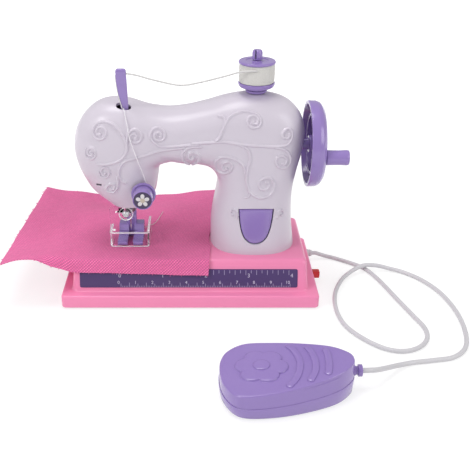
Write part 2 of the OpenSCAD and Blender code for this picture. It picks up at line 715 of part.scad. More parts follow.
function section_point(s, in, a) =
    let (out = [s[0] * body_w, 0, s[1] * body_h], inn = [s[2] * body_w, 0, s[3] * body_h], mid = (out +
        inn) / 2,
        reach = norm(out - inn) / 2 - in, deep = s[4] * body_half_d - in,
        c = cos(a), d = sin(a), sc = sign(c) * pow(abs(c), 2 / round_power), sd = sign(d) * pow(abs(d),
            2 / round_power))
    [0, body_y, deck_top] + mid + unit(out - inn) * reach * sc + [0, deep * sd, 0];
// A point of the body's skin at section place t and angle a round the section
function body_point(t, in, a) = section_point(curve_at(sections_share, t), in, a);
section_count = (len(sections_share) - 1) * section_steps;
module half_shell(side) band_skin([for (i = [0:section_count])
    let (k = side < 0 ? i : section_count - i, t = k / section_steps) concat(
    [for (j = [0:half_points]) body_point(t, 0, side * half_turn * j / half_points)],
    [for (j = [half_points:-1:0]) body_point(t, shell_wall, side * half_turn * j / half_points)])]);
lever_y = -yoke_front - lever_t / 2;
lever_hole_x = -needle_x - lever_lean / 2;
shaft_hole_r = 2 * shaft_r;
shield_share = [[-0.5, 0.97], [-0.25, 0.993], [0, 1], [0.25, 0.993], [0.5, 0.97], [0.48, 0.75], [0.44,
    0.54],
    [0.38, 0.38], [0.29, 0.23], [0.2, 0.12], [0.1, 0.03], [0, 0], [-0.1, 0.03], [-0.2, 0.12], [-0.29, 0.23],
    [-0.38, 0.38], [-0.44, 0.54], [-0.48, 0.75]];
module shield(grow) polygon([for (s = shield_share)
    [drawer_x + s[0] * (drawer_w + 2 * grow), drawer_tip - grow + s[1] * (drawer_top - drawer_tip +
        2 * grow)]]);
module both_cuts() {
    along_x([cover_x + cover_t + overrun, body_y, shaft_z]) cylinder(r = shaft_hole_r,
        h = wheel_x - cover_x);
    translate([spool_x, body_y, pin_foot_z - pin_foot_r - overrun])
        cylinder(r = pin_foot_r - shell_wall + seat_gap, h = pin_foot_r + 2 * overrun);
}
module front_shell() color(white) difference() {
    half_shell(-1);
    both_cuts();
    translate([lever_hole_x, lever_y, beam_z + beam_h]) linear_extrude(body_h) {
        square([lever_hole_w - lever_hole_d, lever_hole_d], center = true);
        for (s = [-1, 1]) translate([s * (lever_hole_w - lever_hole_d) / 2, 0])
            circle(r = lever_hole_d / 2);
    }
    to_front([-dial_x, -dial_seat_y * 2 / 5, dial_z]) cylinder(r = dial_boss_r + seat_gap, h = dial_seat_y);
    to_front([0, -drawer_face / 2, 0]) linear_extrude(drawer_face) shield(move_gap);
    box([-slot_x - slot_w / 2, -body_half_d, slot_z - slot_h / 2], [-slot_x + slot_w / 2, 0, slot_z +
        slot_h / 2]);
}
body_screw_share = [[-0.3, 0.83], [0, 0.81], [0.22, 0.82]];
function body_screw_at(s) = [s[0] * body_w, body_y + s[1] * body_half_d - shell_wall, beam_z + beam_h / 2];
module rear_shell() color(white) difference() {
    half_shell(1);
    both_cuts();
    to_back([-lifter_x, beam_y + beam_t, lifter_z]) cylinder(r = lifter_r + move_gap, h = body_half_d);
    for (s = body_screw_share) to_back(body_screw_at(s)) {
        translate([0, 0, -2 * shell_wall]) cylinder(r = screw_r + move_gap, h = body_half_d);
        translate([0, 0, shell_wall / 2]) cylinder(r = screw_head_r + move_gap, h = body_half_d);
    }
}
module body_screws() color(steel) for (s = body_screw_share)
    to_front(body_screw_at(s) + [0, shell_wall / 2, 0]) screw(body_screw_l);

// Gears
pinion_teeth = 12;
idler_teeth = 30;
main_teeth = 32;
pressure = 20;
tip_share = 0.8;
root_share = 1.1;
function gear_r(n) = n * gear_module / 2;
half_turn = 180;
function roll(a) = tan(a) * half_turn / PI - a;
function tooth_half(n, r) = let (p = gear_r(n), b = p * cos(pressure))
    half_turn / 2 / n - gear_play / 4 / p * half_turn / PI + roll(pressure) - (r > b ? roll(acos(b / r)) : 0);
flank_share = [0, 0.45, 0.7, 1];
function tooth_radius(n, s) = gear_r(n) + gear_module * (s * (tip_share + root_share) - root_share);
module gear(n, turn) linear_extrude(gear_w) polygon(flat_list([for (i = [0:n - 1], side = [-1, 1])
    [for (k = [0:3]) let (s = flank_share[side < 0 ? k : 3 - k], r = tooth_radius(n, s),
        a = turn + 360 * i / n + side * tooth_half(n, r)) r * [cos(a), sin(a)]]]));
idler_dz = sqrt(pow(gear_r(main_teeth) + gear_r(pinion_teeth), 2) - pow(idler_dy, 2));
idler_y = body_y - idler_dy;
idler_z = shaft_z - idler_dz;
motor_dz = sqrt(pow(gear_r(idler_teeth) + gear_r(pinion_teeth), 2) - pow(motor_dy, 2));
motor_y = idler_y + motor_dy;
motor_z = idler_z - motor_dz;
main_turn = atan2(-idler_dz, -idler_dy);
motor_turn = atan2(-motor_dz, motor_dy);
half_pitch = half_turn / pinion_teeth;
first_x = gear_plate_x + frame_t + 2 * move_gap;
second_x = first_x + gear_w + 2 * move_gap;
module main_gear() color(white) along_x([second_x, body_y, shaft_z]) difference() {
    gear(main_teeth, main_turn);
    translate([0, 0, -overrun]) cylinder(r = shaft_r + seat_gap, h = gear_w + 2 * overrun);
}
module idler_gear() color(white) along_x([first_x, idler_y, idler_z]) difference() {
    union() {
        gear(idler_teeth, motor_turn);
        translate([0, 0, second_x - first_x]) gear(pinion_teeth, main_turn + half_turn + half_pitch);
        cylinder(r = tooth_radius(pinion_teeth, 0), h = second_x - first_x + gear_w);
    }
    translate([0, 0, -overrun]) cylinder(r = axle_r + run_gap, h = 3 * gear_w + 2 * overrun);
}
module motor_pinion() color(steel) {
    along_x([first_x, motor_y, motor_z]) difference() {
        gear(pinion_teeth, motor_turn + half_turn + half_pitch);
        translate([0, 0, -overrun]) cylinder(r = motor_shaft_r, h = gear_w + 2 * overrun);
    }
    along_x([gear_plate_x + run_gap, motor_y, motor_z]) cylinder(r = motor_shaft_r, h = first_x +
        gear_w - gear_plate_x);
}
module motor() color(steel) along_x([frame_left + frame_t, motor_y, motor_z])
    cylinder(r = motor_r, h = gear_plate_x - frame_left - frame_t);
cover_share = [[-0.42, 0.86], [0.1, 0.86], [0.86, 0.93], [0.86, 1], [0.5, 1.16], [0.42, 1.37], [-0.12,
    1.37],
    [-0.16, 1.2], [-0.5, 1.02]];
cover_posts_share = [[0.75, 0.963], [0.167, 1.33]];
module gear_cover() color(black) {
    along_x([cover_x, 0, 0]) difference() {
        linear_extrude(cover_t) polygon([for (s = cover_share) [s[0] * frame_back,
            s[1] * (shaft_z - frame_front)]]);
        translate([body_y, shaft_z, -overrun]) cylinder(r = shaft_r + run_gap, h = cover_t + 2 * overrun);
    }
    for (p = cover_posts_share) along_x([gear_plate_x + frame_t, p[0] * frame_back,
        p[1] * (shaft_z - frame_front)])
        cylinder(r = screw_r, h = cover_x - gear_plate_x - frame_t);
    along_x([gear_plate_x + frame_t, idler_y, idler_z]) cylinder(r = axle_r,
        h = cover_x - gear_plate_x - frame_t);
}

// Chassis in the column: the plates, the floor and the drawer's shelf
upper_plate_front = 4;
upper_plate_back = 14.5;
upper_plate_top = 108;
frame_step = 82;
left_plate_top = 73;
shelf_t = 1.6;
module gear_frame() color(black) {
    box([frame_left, -frame_front, deck_top], [gear_plate_x + frame_t, frame_back, deck_top + frame_t]);
    box([frame_left, -frame_front, deck_top], [frame_left + frame_t, frame_back, left_plate_top]);
    box([frame_left, -frame_front, tray_z - move_gap - shelf_t], [gear_plate_x + frame_t,
        upper_plate_front, tray_z - move_gap]);
    difference() {
        union() {
            box([gear_plate_x, -frame_front, deck_top], [gear_plate_x + frame_t, frame_back, frame_step]);
            box([gear_plate_x, -upper_plate_front, deck_top], [gear_plate_x + frame_t, upper_plate_back,
                upper_plate_top]);
        }
        along_x([gear_plate_x - overrun, body_y, shaft_z]) cylinder(r = shaft_r + run_gap, h = frame_t +
            2 * overrun);
        along_x([gear_plate_x - overrun, motor_y, motor_z]) cylinder(r = motor_shaft_r + run_gap,
            h = frame_t + 2 * overrun);
    }
}

// Shafts, pulleys and belt
module main_shaft() color(steel) along_x([-shaft_left, body_y, shaft_z])
    cylinder(r = shaft_r, h = shaft_left + wheel_x + wheel_t - overrun / 2);
module pulley() rotate_extrude() polygon([[0, -flange_t], [flange_r, -flange_t], [flange_r, 0],
    [pulley_r, 0],
    [pulley_r, belt_w + 2 * run_gap], [flange_r, belt_w + 2 * run_gap],
    [flange_r, belt_w + 2 * run_gap + flange_t], [0, belt_w + 2 * run_gap + flange_t]]);
module upper_pulley() color(white) along_x([belt_x - run_gap, body_y, shaft_z]) difference() {
    pulley();
    translate([0, 0, -overrun]) cylinder(r = shaft_r + seat_gap, h = belt_w + 3 * overrun);
}
module stadium(r) {
    for (z = [lower_z, shaft_z]) translate([body_y, z]) circle(r = r);
    translate([body_y - r, lower_z]) square([2 * r, shaft_z - lower_z]);
}
module drive_belt() color(black) along_x([belt_x, 0, 0]) linear_extrude(belt_w) difference() {
    stadium(pulley_r + run_gap + belt_t);
    stadium(pulley_r + run_gap);
}
module lower_shaft() color(steel) {
    along_x([-lower_left, body_y, lower_z]) cylinder(r = lower_r, h = lower_left + belt_x);
    along_x([belt_x - run_gap, body_y, lower_z]) pulley();
}
looper_x = -needle_x + needle_r + 2 * move_gap;
hook_share = [[0.5, 0], [0.62, 0.5], [0.45, 0.88], [0.1, 1], [0.3, 0.78], [0.36, 0.45], [0, 0.4], [-0.5,
    0.2], [-0.5, -0.3],
    [0, -0.55]];
module looper() color(steel) along_x([looper_x, body_y, lower_z]) linear_extrude(looper_t) difference() {
    polygon([for (s = hook_share) s * looper_r]);
    circle(r = lower_r + seat_gap);
}
bearing_in = 0.8;
bearing_gap = 7;
bearing_places = [bearing_in - lower_left, belt_x - bearing_gap];
bearing_t = 3;
bearing_half = 4;
module lower_bearings() color(black) for (x = bearing_places) difference() {
    box([x, body_y - bearing_half, plate_top], [x + bearing_t, body_y + bearing_half, lower_z +
        bearing_half]);
    along_x([x - overrun, body_y, lower_z]) cylinder(r = lower_r + run_gap, h = bearing_t + 2 * overrun);
}

// Needle plate, feed dog and cloth
rail_shift = 3.5;
rail_y = 2.6;
feed_top_gap = 0.3;
module needle_plate() color(steel) difference() {
    box(needle_plate_low, needle_plate_high);
    translate([-needle_x, 0, needle_plate_low[2] - overrun]) cylinder(r = needle_hole_r,
        h = needle_plate_t + 2 * overrun);
    for (s = [-1, 1]) box([-needle_x + s * rail_shift - feed_rail_w / 2 - move_gap,
        rail_y - feed_travel - move_gap,
            needle_plate_low[2] - overrun],
        [-needle_x + s * rail_shift + feed_rail_w / 2 + move_gap, rail_y + feed_l + feed_travel +
            move_gap, deck_top + overrun]);
}
feed_bar_t = 2;
feed_bar_top = needle_plate_low[2] - base_wall / 2;
module feed_dog() color(steel) {
    for (s = [-1, 1]) {
        box([-needle_x + s * rail_shift - feed_rail_w / 2, rail_y, feed_bar_top - feed_bar_t],
            [-needle_x + s * rail_shift + feed_rail_w / 2, rail_y + feed_l, deck_top - feed_top_gap]);
    }
    box([-needle_x - rail_shift, rail_y + feed_l / 2, feed_bar_top - feed_bar_t],
        [-needle_x + rail_shift, rail_y + feed_l, feed_bar_top]);
    box([-needle_x - rail_shift - feed_rail_w / 2, rail_y, lower_z + lower_r + move_gap],
        [-needle_x - rail_shift + feed_rail_w / 2, rail_y + feed_rail_w, feed_bar_top]);
}
// The cloth: a sheet of rows that lies on the deck, bends over its front edge and hangs out to the left
cloth_cols = 20;
cloth_rows = 18;
bend_rows = 2;
cloth_turn = -4;
cloth_skew_share = 0.37;
cloth_gap = 1.8;
cloth_right = foot_share * body_w - cloth_gap;
cloth_front = 36.3;
bend_line = deck_front_top + 1.2;
bend_full = 70;
bend_lag = 4;
sag_back = 6;
arch_up = 4;
cloth_dent = 1.9;
dent_half = 18;
function smooth(s) = let (q = max(0, min(1, s))) q * q * (3 - 2 * q);
function cloth_flat(i, j) = let (s = i / cloth_cols,
        front = -cloth_front - s * cloth_w * sin(cloth_turn) * cloth_skew_share,
        back = front + cloth_l * cos(cloth_turn),
        y = j < bend_rows ? front - (bend_line + front) * j / bend_rows
            : -bend_line + (back + bend_line) * (j - bend_rows) / (cloth_rows - bend_rows),
        dent = (1 - s) * cloth_dent * smooth(1 - abs(y - body_y) / dent_half))
    [cloth_right - s * cloth_w * cos(cloth_turn) - (y - front) * tan(cloth_turn) - dent, y];
function cloth_at(i, j) = let (p = cloth_flat(i, j), x = p[0], y = p[1], left = -deck_w / 2 - x,
        over = max(0, -bend_line - y), bend = bend_full * (1 - smooth((left - bend_lag) / (cloth_w / 7))),
        sag = sag_back * smooth((y - deck_back) / (cloth_l / 3)) * sin(half_turn * i / cloth_cols),
        arch = arch_up * sin(half_turn * max(0, min(1, left / (cloth_w / 3)))) * smooth(-y / cloth_front))
    [x, over > 0 ? -bend_line - over * cos(bend) : y, deck_top + cloth_t / 6 - over * sin(bend) - sag +
        arch];
cloth_under = [for (i = [0:cloth_cols]) [for (j = [0:cloth_rows]) cloth_at(i, j)]];
function cloth_up(i, j) = unit(cross(
    cloth_under[i][min(j + 1, cloth_rows)] - cloth_under[i][max(j - 1, 0)],
    cloth_under[min(i + 1, cloth_cols)][j] - cloth_under[max(i - 1, 0)][j]));
module cloth() color(cloth_pink) difference() {
    band_skin([for (i = [0:cloth_cols]) concat(
        [for (j = [0:cloth_rows]) cloth_under[i][j] + cloth_up(i, j) * cloth_t],
            [for (j = [cloth_rows:-1:0]) cloth_under[i][j]])]);
    translate([-needle_x, 0, deck_top - overrun]) cylinder(r = needle_hole_r, h = 2 * overrun + cloth_t);
}

// Chassis in the arm and the head
beam_side = 9.5;
beam_left = -needle_x - beam_side;
plate_left = 8;
plate_right = 5.5;
head_plate = [-needle_x - plate_left, -needle_x + plate_right];
guide_front = -4;
arm_bearing_in = 10;
bearing_arm = [arm_bearing_in - shaft_left, arm_bearing_in + bearing_half - shaft_left];
module arm_frame() color(black) difference() {
    union() {
        box([beam_left, beam_y, beam_z], [gear_plate_x, beam_y + beam_t, beam_z + beam_h]);
        box([head_plate[0], beam_y, guide_low], [head_plate[1], beam_y + beam_t, beam_z + beam_h]);
        for (z = [guide_low, guide_high]) box([head_plate[0], guide_front, z], [head_plate[1], beam_y,
            z + guide_t]);
        box([bearing_arm[0], body_y - bearing_half, shaft_z - bearing_half],
            [bearing_arm[1], beam_y + beam_t, beam_z + beam_h]);
    }
    along_x([bearing_arm[0] - overrun, body_y, shaft_z]) cylinder(r = shaft_r + run_gap,
        h = bearing_half + 2 * overrun);
    for (y = [0, presser_y]) translate([-needle_x, y, guide_low - overrun])
        cylinder(r = (y == 0 ? bar_r : presser_r) + run_gap, h = beam_z - guide_low);
    to_back([-lifter_x, beam_y - overrun, lifter_z]) cylinder(r = lifter_r + run_gap, h = beam_t +
        2 * overrun);
    for (s = body_screw_share) to_back([body_screw_at(s)[0], beam_y - overrun, beam_z + beam_h / 2])
        cylinder(r = screw_r + seat_gap, h = beam_t + 2 * overrun);
}

// Crank disc, needle bar and take-up lever
yoke_z = shaft_z + stroke / 2;
disc_left = -shaft_left;
yoke_right = disc_left - disc_pin_l - move_gap;
yoke_plate_t = 2;
yoke_left = -needle_x - lever_top_w / 2;
yoke_back = 11.2;
module crank_disc() color(steel) {
    along_x([disc_left, body_y, shaft_z]) difference() {
        cylinder(r = disc_r, h = disc_t);
        translate([0, 0, -overrun]) cylinder(r = shaft_r + seat_gap, h = disc_t + 2 * overrun);
    }
    along_x([disc_left - disc_pin_l, body_y, yoke_z]) cylinder(r = disc_pin_r, h = disc_pin_l);
}
module needle_yoke() color(white) difference() {
    union() {
        box([yoke_left, -yoke_front, yoke_z - yoke_h / 2], [yoke_right, bar_r * 2, yoke_z + yoke_h / 2]);
        box([yoke_right - yoke_plate_t, -yoke_front, yoke_z - yoke_h / 2], [yoke_right, yoke_back,
            yoke_z + yoke_h / 2]);
    }
    translate([-needle_x, 0, yoke_z - yoke_h]) cylinder(r = bar_r + seat_gap, h = 2 * yoke_h);
    box([yoke_right - yoke_plate_t - overrun, bar_r * 2 + seat_gap, yoke_z - disc_pin_r - run_gap],
        [yoke_right + overrun, yoke_back + overrun, yoke_z + disc_pin_r + run_gap]);
}
module needle_bar() color(steel) difference() {
    translate([-needle_x, 0, bar_bottom]) cylinder(r = bar_r, h = yoke_z + yoke_h / 2 - bar_bottom);
    translate([-needle_x, 0, bar_bottom - overrun]) cylinder(r = needle_r + seat_gap, h = clamp_h);
}
module needle_clamp() color(steel) translate([-needle_x, 0, bar_bottom]) difference() {
    cylinder(r = clamp_r, h = clamp_h);
    translate([0, 0, -overrun]) cylinder(r = bar_r + seat_gap, h = clamp_h + 2 * overrun);
}
needle_in = 4;
point_l = 3;
module needle() color(steel) translate([-needle_x, 0, needle_tip]) {
    cylinder(r1 = needle_r / 4, r2 = needle_r, h = point_l);
    translate([0, 0, point_l]) cylinder(r = needle_r, h = bar_bottom + needle_in - needle_tip - point_l);
}
lever_bottom = yoke_z - yoke_h / 2;
lever_share = [[-0.5, 0], [0.5, 0], [0.5, 0.45], [0.5, 0.8], [0.42, 0.95], [0.2, 1], [-0.2, 1], [-0.42,
    0.95], [-0.5, 0.8],
    [-0.5, 0.45]];
function lever_w(s) = lever_foot_w + (lever_top_w - lever_foot_w) * smooth((s - 0.4) * 2);
module take_up_lever() color(purple) difference() {
    to_front([0, -yoke_front, 0]) linear_extrude(lever_t) polygon([for (s = lever_share)
        [-needle_x + s[0] * lever_w(s[1]) - lever_lean * smooth((s[1] - 0.35) * 1.6), lever_bottom +
            s[1] * (lever_top - lever_bottom)]]);
    along_x([-needle_x - lever_lean - lever_top_w, lever_y, lever_top - 2 * eye_r - overrun])
        cylinder(r = eye_r, h = 2 * lever_top_w);
}

// Presser bar, foot, spring and lifter
sole_z = deck_top + cloth_t + move_gap + cloth_t / 2;
collar_z = guide_low + guide_t + 2 * move_gap;
lug_z = lifter_z + cam_r + move_gap;
lug_side = 10;
lug_left = -needle_x - lug_side;
shank_in = 8;
module presser_bar() color(steel) {
    translate([-needle_x, presser_y, presser_shank_top - shank_in]) cylinder(r = presser_r,
        h = presser_top - presser_shank_top + shank_in);
    translate([-needle_x, presser_y, collar_z]) cylinder(r = collar_r, h = guide_t);
    box([lug_left, presser_y - presser_r, lug_z], [-needle_x, presser_y + presser_r, lug_z + collar_r]);
}
module presser_spring() color(steel) translate([-needle_x, presser_y, collar_z + guide_t]) difference() {
    cylinder(r = spring_r, h = guide_high - collar_z - guide_t);
    translate([0, 0, -overrun]) cylinder(r = presser_r + move_gap, h = guide_high - guide_low);
}
foot_back = 11;
foot_block_y = 4;
module presser_foot() color(purple) difference() {
    union() {
        box([-needle_x - presser_w / 2, -toe_front + toe_t / 2, sole_z], [-needle_x + presser_w / 2,
            foot_back, sole_z + toe_t]);
        along_x([-needle_x - presser_w / 2, -toe_front + toe_t / 2, sole_z + toe_t / 2])
            cylinder(r = toe_t / 2, h = presser_w);
        box([-needle_x - presser_w / 2, foot_block_y, sole_z], [-needle_x + presser_w / 2, foot_back,
            presser_block_top]);
        box([-needle_x - collar_r, presser_y - collar_r, sole_z], [-needle_x + collar_r, foot_back,
            presser_shank_top]);
    }
    box([-needle_x - toe_slot / 2, -toe_front - overrun, sole_z - overrun],
        [-needle_x + toe_slot / 2, presser_y - collar_r, presser_shank_top + overrun]);
    translate([-needle_x, presser_y, presser_shank_top - shank_in]) cylinder(r = presser_r + seat_gap,
        h = shank_in + overrun);
}
lifter_in = 3;
lifter_back_share = 0.92;
lifter_back = body_y + lifter_back_share * body_half_d;
lifter_t = 3;
lifter_hub_r = 3.4;
lifter_w = 4.4;
module presser_lifter() color(purple) {
    to_back([-lifter_x - cam_throw, presser_y - presser_r, lifter_z]) cylinder(r = cam_r, h = lifter_in);
    to_back([-lifter_x, presser_y - presser_r, lifter_z]) cylinder(r = lifter_r, h = lifter_back +
        lifter_t - presser_y + presser_r);
    to_back([-lifter_x, lifter_back - shell_wall, lifter_z]) cylinder(r = lifter_hub_r, h = lifter_t +
        shell_wall);
    box([-lifter_x - lifter_w / 2, lifter_back, lifter_z - lifter_l], [-lifter_x + lifter_w / 2,
        lifter_back + lifter_t, lifter_z]);
    to_back([-lifter_x, lifter_back, lifter_z - lifter_l]) cylinder(r = lifter_w / 2, h = lifter_t);
}

// Clear finger guard: three walls, a bar up the left side, the boss and the stem that hangs from the head
guard_z = sole_z - move_gap / 3;
stem_side = 6.5;
stem_x = -needle_x - stem_side;
stem_w = 2.9;
stem_y = -3.2;
stem_d = 3;
boss_y = -7;
boss_t = 2.8;
boss_side = 2.2;
boss_x = -needle_x - boss_side;
bar_w = 3;
module finger_guard() color(clear) difference() {
    union() {
        box([-guard_left, -guard_front, guard_z], [-guard_left + guard_w, -guard_front + guard_wall,
            guard_top]);
        box([-guard_left, -guard_front, guard_z], [-guard_left + guard_wall,
            -guard_front + guard_left_d, guard_top]);
        box([-guard_left + guard_w - guard_wall, -guard_front, guard_z], [-guard_left + guard_w,
            -guard_front + guard_d, guard_top]);
        box([-guard_left, boss_y, guard_top - bar_w], [-guard_left + bar_w, boss_y + boss_t, boss_z +
            boss_r]);
        box([-guard_left, boss_y, boss_z], [boss_x, boss_y + boss_t, boss_z + boss_r]);
        to_back([boss_x, boss_y, boss_z]) cylinder(r = boss_r, h = boss_t);
        box([stem_x, boss_y, boss_z], [stem_x + stem_w, stem_y + stem_d, boss_z + boss_r]);
        box([stem_x, stem_y, boss_z], [stem_x + stem_w, stem_y + stem_d, guide_low]);
    }
    to_back([boss_x, boss_y - overrun, boss_z]) cylinder(r = screw_r + seat_gap, h = boss_t + 2 * overrun);
}
module guard_screw() color(steel) to_back([boss_x, boss_y, boss_z]) screw(boss_t);

// Tension dial
stud_r = 1.5;
stud_l = 5;
module dial_seat() color(purple) {
    to_front([-dial_x, -dial_seat_y, dial_z]) cylinder(r = dial_seat_r, h = dial_seat_t);
    to_front([-dial_x, -dial_seat_y / 2, dial_z]) cylinder(r = dial_boss_r, h = dial_seat_y / 2);
    to_front([-dial_x, -dial_seat_y - dial_seat_t, dial_z]) cylinder(r = stud_r, h = stud_l);
}
dial_back = dial_seat_y + dial_seat_t + move_gap;
module tension_dial() color(purple) to_front([-dial_x, -dial_back, dial_z]) difference() {
    rotate_extrude() polygon([[0, 0], [dial_r, 0], [dial_r, dial_l - plinth_edge], [dial_r - plinth_edge,
        dial_l], [0, dial_l]]);
    translate([0, 0, -overrun]) cylinder(r = stud_r + run_gap, h = stud_l + overrun);
}

// Spool, its pin and the thread
spool_top = spool_z + spool_gap + 2 * spool_flange_t;
knob_z = spool_top + move_gap;
module spool_pin() color(purple) translate([spool_x, body_y, 0]) {
    translate([0, 0, pin_foot_z - pin_foot_r]) cylinder(r = pin_foot_r - shell_wall, h = pin_foot_r);
    translate([0, 0, pin_foot_z]) cylinder(r1 = pin_foot_r, r2 = barrel_r,
        h = spool_z - dish_h - move_gap - pin_foot_z);
    translate([0, 0, pin_foot_z]) cylinder(r = spool_pin_r, h = knob_z - pin_foot_z);
    translate([0, 0, knob_z]) rotate_extrude() polygon([[0, 0], [knob_r, 0], [knob_r,
        spool_pin_top - knob_z - plinth_edge],
        [knob_r - plinth_edge, spool_pin_top - knob_z], [0, spool_pin_top - knob_z]]);
}
module spool() color(purple) translate([spool_x, body_y, spool_z]) difference() {
    union() {
        translate([0, 0, -dish_h]) cylinder(r1 = barrel_r, r2 = spool_r, h = dish_h);
        cylinder(r = spool_r, h = spool_flange_t);
        cylinder(r = barrel_r, h = spool_top - spool_z);
        translate([0, 0, spool_top - spool_z - spool_flange_t]) cylinder(r = spool_r, h = spool_flange_t);
    }
    translate([0, 0, -dish_h - overrun]) cylinder(r = spool_pin_r + run_gap, h = spool_top - spool_z +
        dish_h + 2 * overrun);
}
turns = 10;
turn_rings = 24;
wind_r = (wound_r + thread_r + seat_gap) / cos(half_turn / turn_rings);
wind_z = spool_z + spool_flange_t + (spool_gap - turns * thread_pitch) / 2;
function wind_point(k) = [spool_x + wind_r * cos(360 * k / turn_rings), body_y +
    wind_r * sin(360 * k / turn_rings),
    wind_z + thread_pitch * k / turn_rings];
wind_points = [for (k = [0:turns * turn_rings]) wind_point(k)];
wind_gap = min([for (k = [0:(turns - 1) * turn_rings], j = [-2:2]) let (q = k + turn_rings + j)
    q <= turns * turn_rings ? norm(wind_points[q] - wind_points[k]) - 2 * thread_r : thread_pitch]);
module thread_winding() color(thread_white) {
    translate([spool_x, body_y, spool_z + spool_flange_t]) difference() {
        cylinder(r = wound_r, h = spool_gap);
        translate([0, 0, -overrun]) cylinder(r = barrel_r + seat_gap, h = spool_gap + 2 * overrun);
    }
    tube(wind_points, thread_r, 6);
}
// Route of the thread from the spool to the take-up lever
upper_route = [[37, -7.5, 134.2], [28, -7.3, 133.7], [18, -7, 130.2], [7, -6.8, 126.5], [-3, -6.7,
    124.6], [-12, -6.8, 125.4],
    [-22, -6.9, 128.5], [-29, -6.5, 131.3], [-35, -6.25, 132.5]];
module upper_thread() color(thread_white) tube(open_curve(upper_route, 5), thread_r, 8);
// Route of the thread down the head: place along the body's sections, then the angle round the section
head_route = [[8.6, -40], [7.9, -55], [7, -76], [6, -95], [5, -112], [4, -125], [3.2, -133]];
thread_off = 0.5;
module head_thread() color(thread_white)
    tube(open_curve([for (q = head_route) body_point(q[0], -thread_r - thread_off, q[1])], 4), thread_r, 8);

// Drawer
tray_front = drawer_face - drawer_t;
module drawer() color(purple) {
    to_front([0, -drawer_face + drawer_t, 0]) linear_extrude(drawer_t) shield(0);
    difference() {
        box([drawer_x - tray_w / 2, -tray_front, tray_z], [drawer_x + tray_w / 2, -tray_front + tray_d,
            tray_z + tray_h]);
        box([drawer_x - tray_w / 2 + tray_wall, -tray_front + tray_wall, tray_z + tray_wall],
            [drawer_x + tray_w / 2 - tray_wall, -tray_front + tray_d - tray_wall, tray_z + tray_h +
                overrun]);
    }
}

// Hand wheel and its handle
handle_y = body_y - crank_r * cos(crank_angle);
handle_z = shaft_z - crank_r * sin(crank_angle);
module hand_wheel() color(purple) {
    along_x([wheel_x, body_y, shaft_z]) difference() {
        rotate_extrude() polygon([[0, wheel_wall / 2], [hub_r, wheel_wall / 2], [hub_r,
            wheel_t - wheel_wall], [rib_r - wheel_wall / 2, wheel_t - wheel_wall],
            [rib_r - wheel_wall / 2, wheel_t / 2], [rib_r + wheel_wall / 2, wheel_t / 2], [rib_r +
                wheel_wall / 2, wheel_t - wheel_wall],
            [wheel_r - wheel_bevel - wheel_wall, wheel_t - wheel_wall], [wheel_r - wheel_wall,
                wheel_t - wheel_bevel],
            [wheel_r - wheel_wall, 0], [wheel_r, 0], [wheel_r, wheel_t - wheel_bevel],
                [wheel_r - wheel_bevel, wheel_t], [0, wheel_t]]);
        translate([0, 0, -overrun]) cylinder(r = shaft_r + seat_gap, h = wheel_t + overrun / 2);
    }
    along_x([wheel_x + wheel_t, handle_y, handle_z]) cylinder(r = handle_pin_r,
        h = handle_l - handle_r / 2);
}
handle_round_share = [[1, 0.5], [0.95, 0.72], [0.8, 0.9], [0.55, 1]];
module crank_handle() color(purple) along_x([wheel_x + wheel_t + move_gap, handle_y, handle_z])
    difference() {
    rotate_extrude() polygon(concat([[0, 0], [handle_r, 0]],
        [for (s = handle_round_share) [s[0] * handle_r, handle_l - handle_r / 2 * (1 - s[1]) * 2]], [[0,
            handle_l]]));
    translate([0, 0, -overrun]) cylinder(r = handle_pin_r + run_gap, h = handle_l - handle_r / 2 + overrun);
}

// Pedal outline in shares of its length and width, from the toe end round by the front
pedal_share = [[-0.5, 0.04], [-0.482, -0.2], [-0.41, -0.42], [-0.3, -0.5], [-0.07, -0.475], [0.17,
    -0.375], [0.365, -0.24],
    [0.478, -0.07], [0.5, 0.06], [0.47, 0.18], [0.35, 0.325], [0.14, 0.425], [-0.095, 0.485], [-0.3,
        0.5], [-0.43, 0.385], [-0.485, 0.23]];
pedal_steps = 3;
function pedal_plan(in) = [for (p = closed_curve(pedal_share, pedal_steps))
    [pedal_x + p[0] * (pedal_l - 2 * in), -pedal_y + p[1] * (pedal_w - 2 * in)]];
function along_pedal(x) = (x - pedal_x) / pedal_l + 0.5;
function pedal_ring(in, toe_z, heel_z) = [for (p = pedal_plan(in)) [p[0], p[1], toe_z + (heel_z - toe_z)
    * along_pedal(p[0])]];
lip_in = pedal_wall + 2 * move_gap;
lip_up = 0.6;
gland_in = 3.9;
hinge_x = pedal_x + pedal_l / 2 - hinge_in;
hinge_mid = -pedal_y + 1.2;
ear_t = 2;
ear_half = 2.4;
module pedal_base() color(purple) difference() {
    union() {
        skin([pedal_ring(2 * plinth_edge, foot_h, foot_h),
            pedal_ring(plinth_edge / 2, foot_h + 2 * plinth_edge, foot_h + 2 * plinth_edge),
            pedal_ring(0, toe_rim - toe_room, heel_rim - move_gap), pedal_ring(lip_in,
                toe_rim - toe_room, heel_rim - move_gap),
            pedal_ring(lip_in, toe_rim + lip_up, heel_rim + lip_up),
            pedal_ring(lip_in + pedal_wall, toe_rim + lip_up, heel_rim + lip_up),
            pedal_ring(lip_in + pedal_wall, foot_h + pedal_wall, foot_h + pedal_wall)]);
        for (s = [-1, 1]) box([hinge_x - ear_half, hinge_mid + s * (hinge_l - ear_t) / 2 - ear_t / 2,
            foot_h + pedal_wall / 2],
            [hinge_x + ear_half, hinge_mid + s * (hinge_l - ear_t) / 2 + ear_t / 2, hinge_z + ear_half]);
    }
    to_back([hinge_x, hinge_mid - hinge_l, hinge_z]) cylinder(r = hinge_r + seat_gap, h = 2 * hinge_l);
    along_x([pedal_x + pedal_l / 2 - gland_in - overrun, -pedal_gland_y, pedal_gland_z])
        cylinder(r = gland_r + seat_gap, h = pedal_l / 2);
}
lug_half = hinge_l / 2 - ear_t - 2 * move_gap;
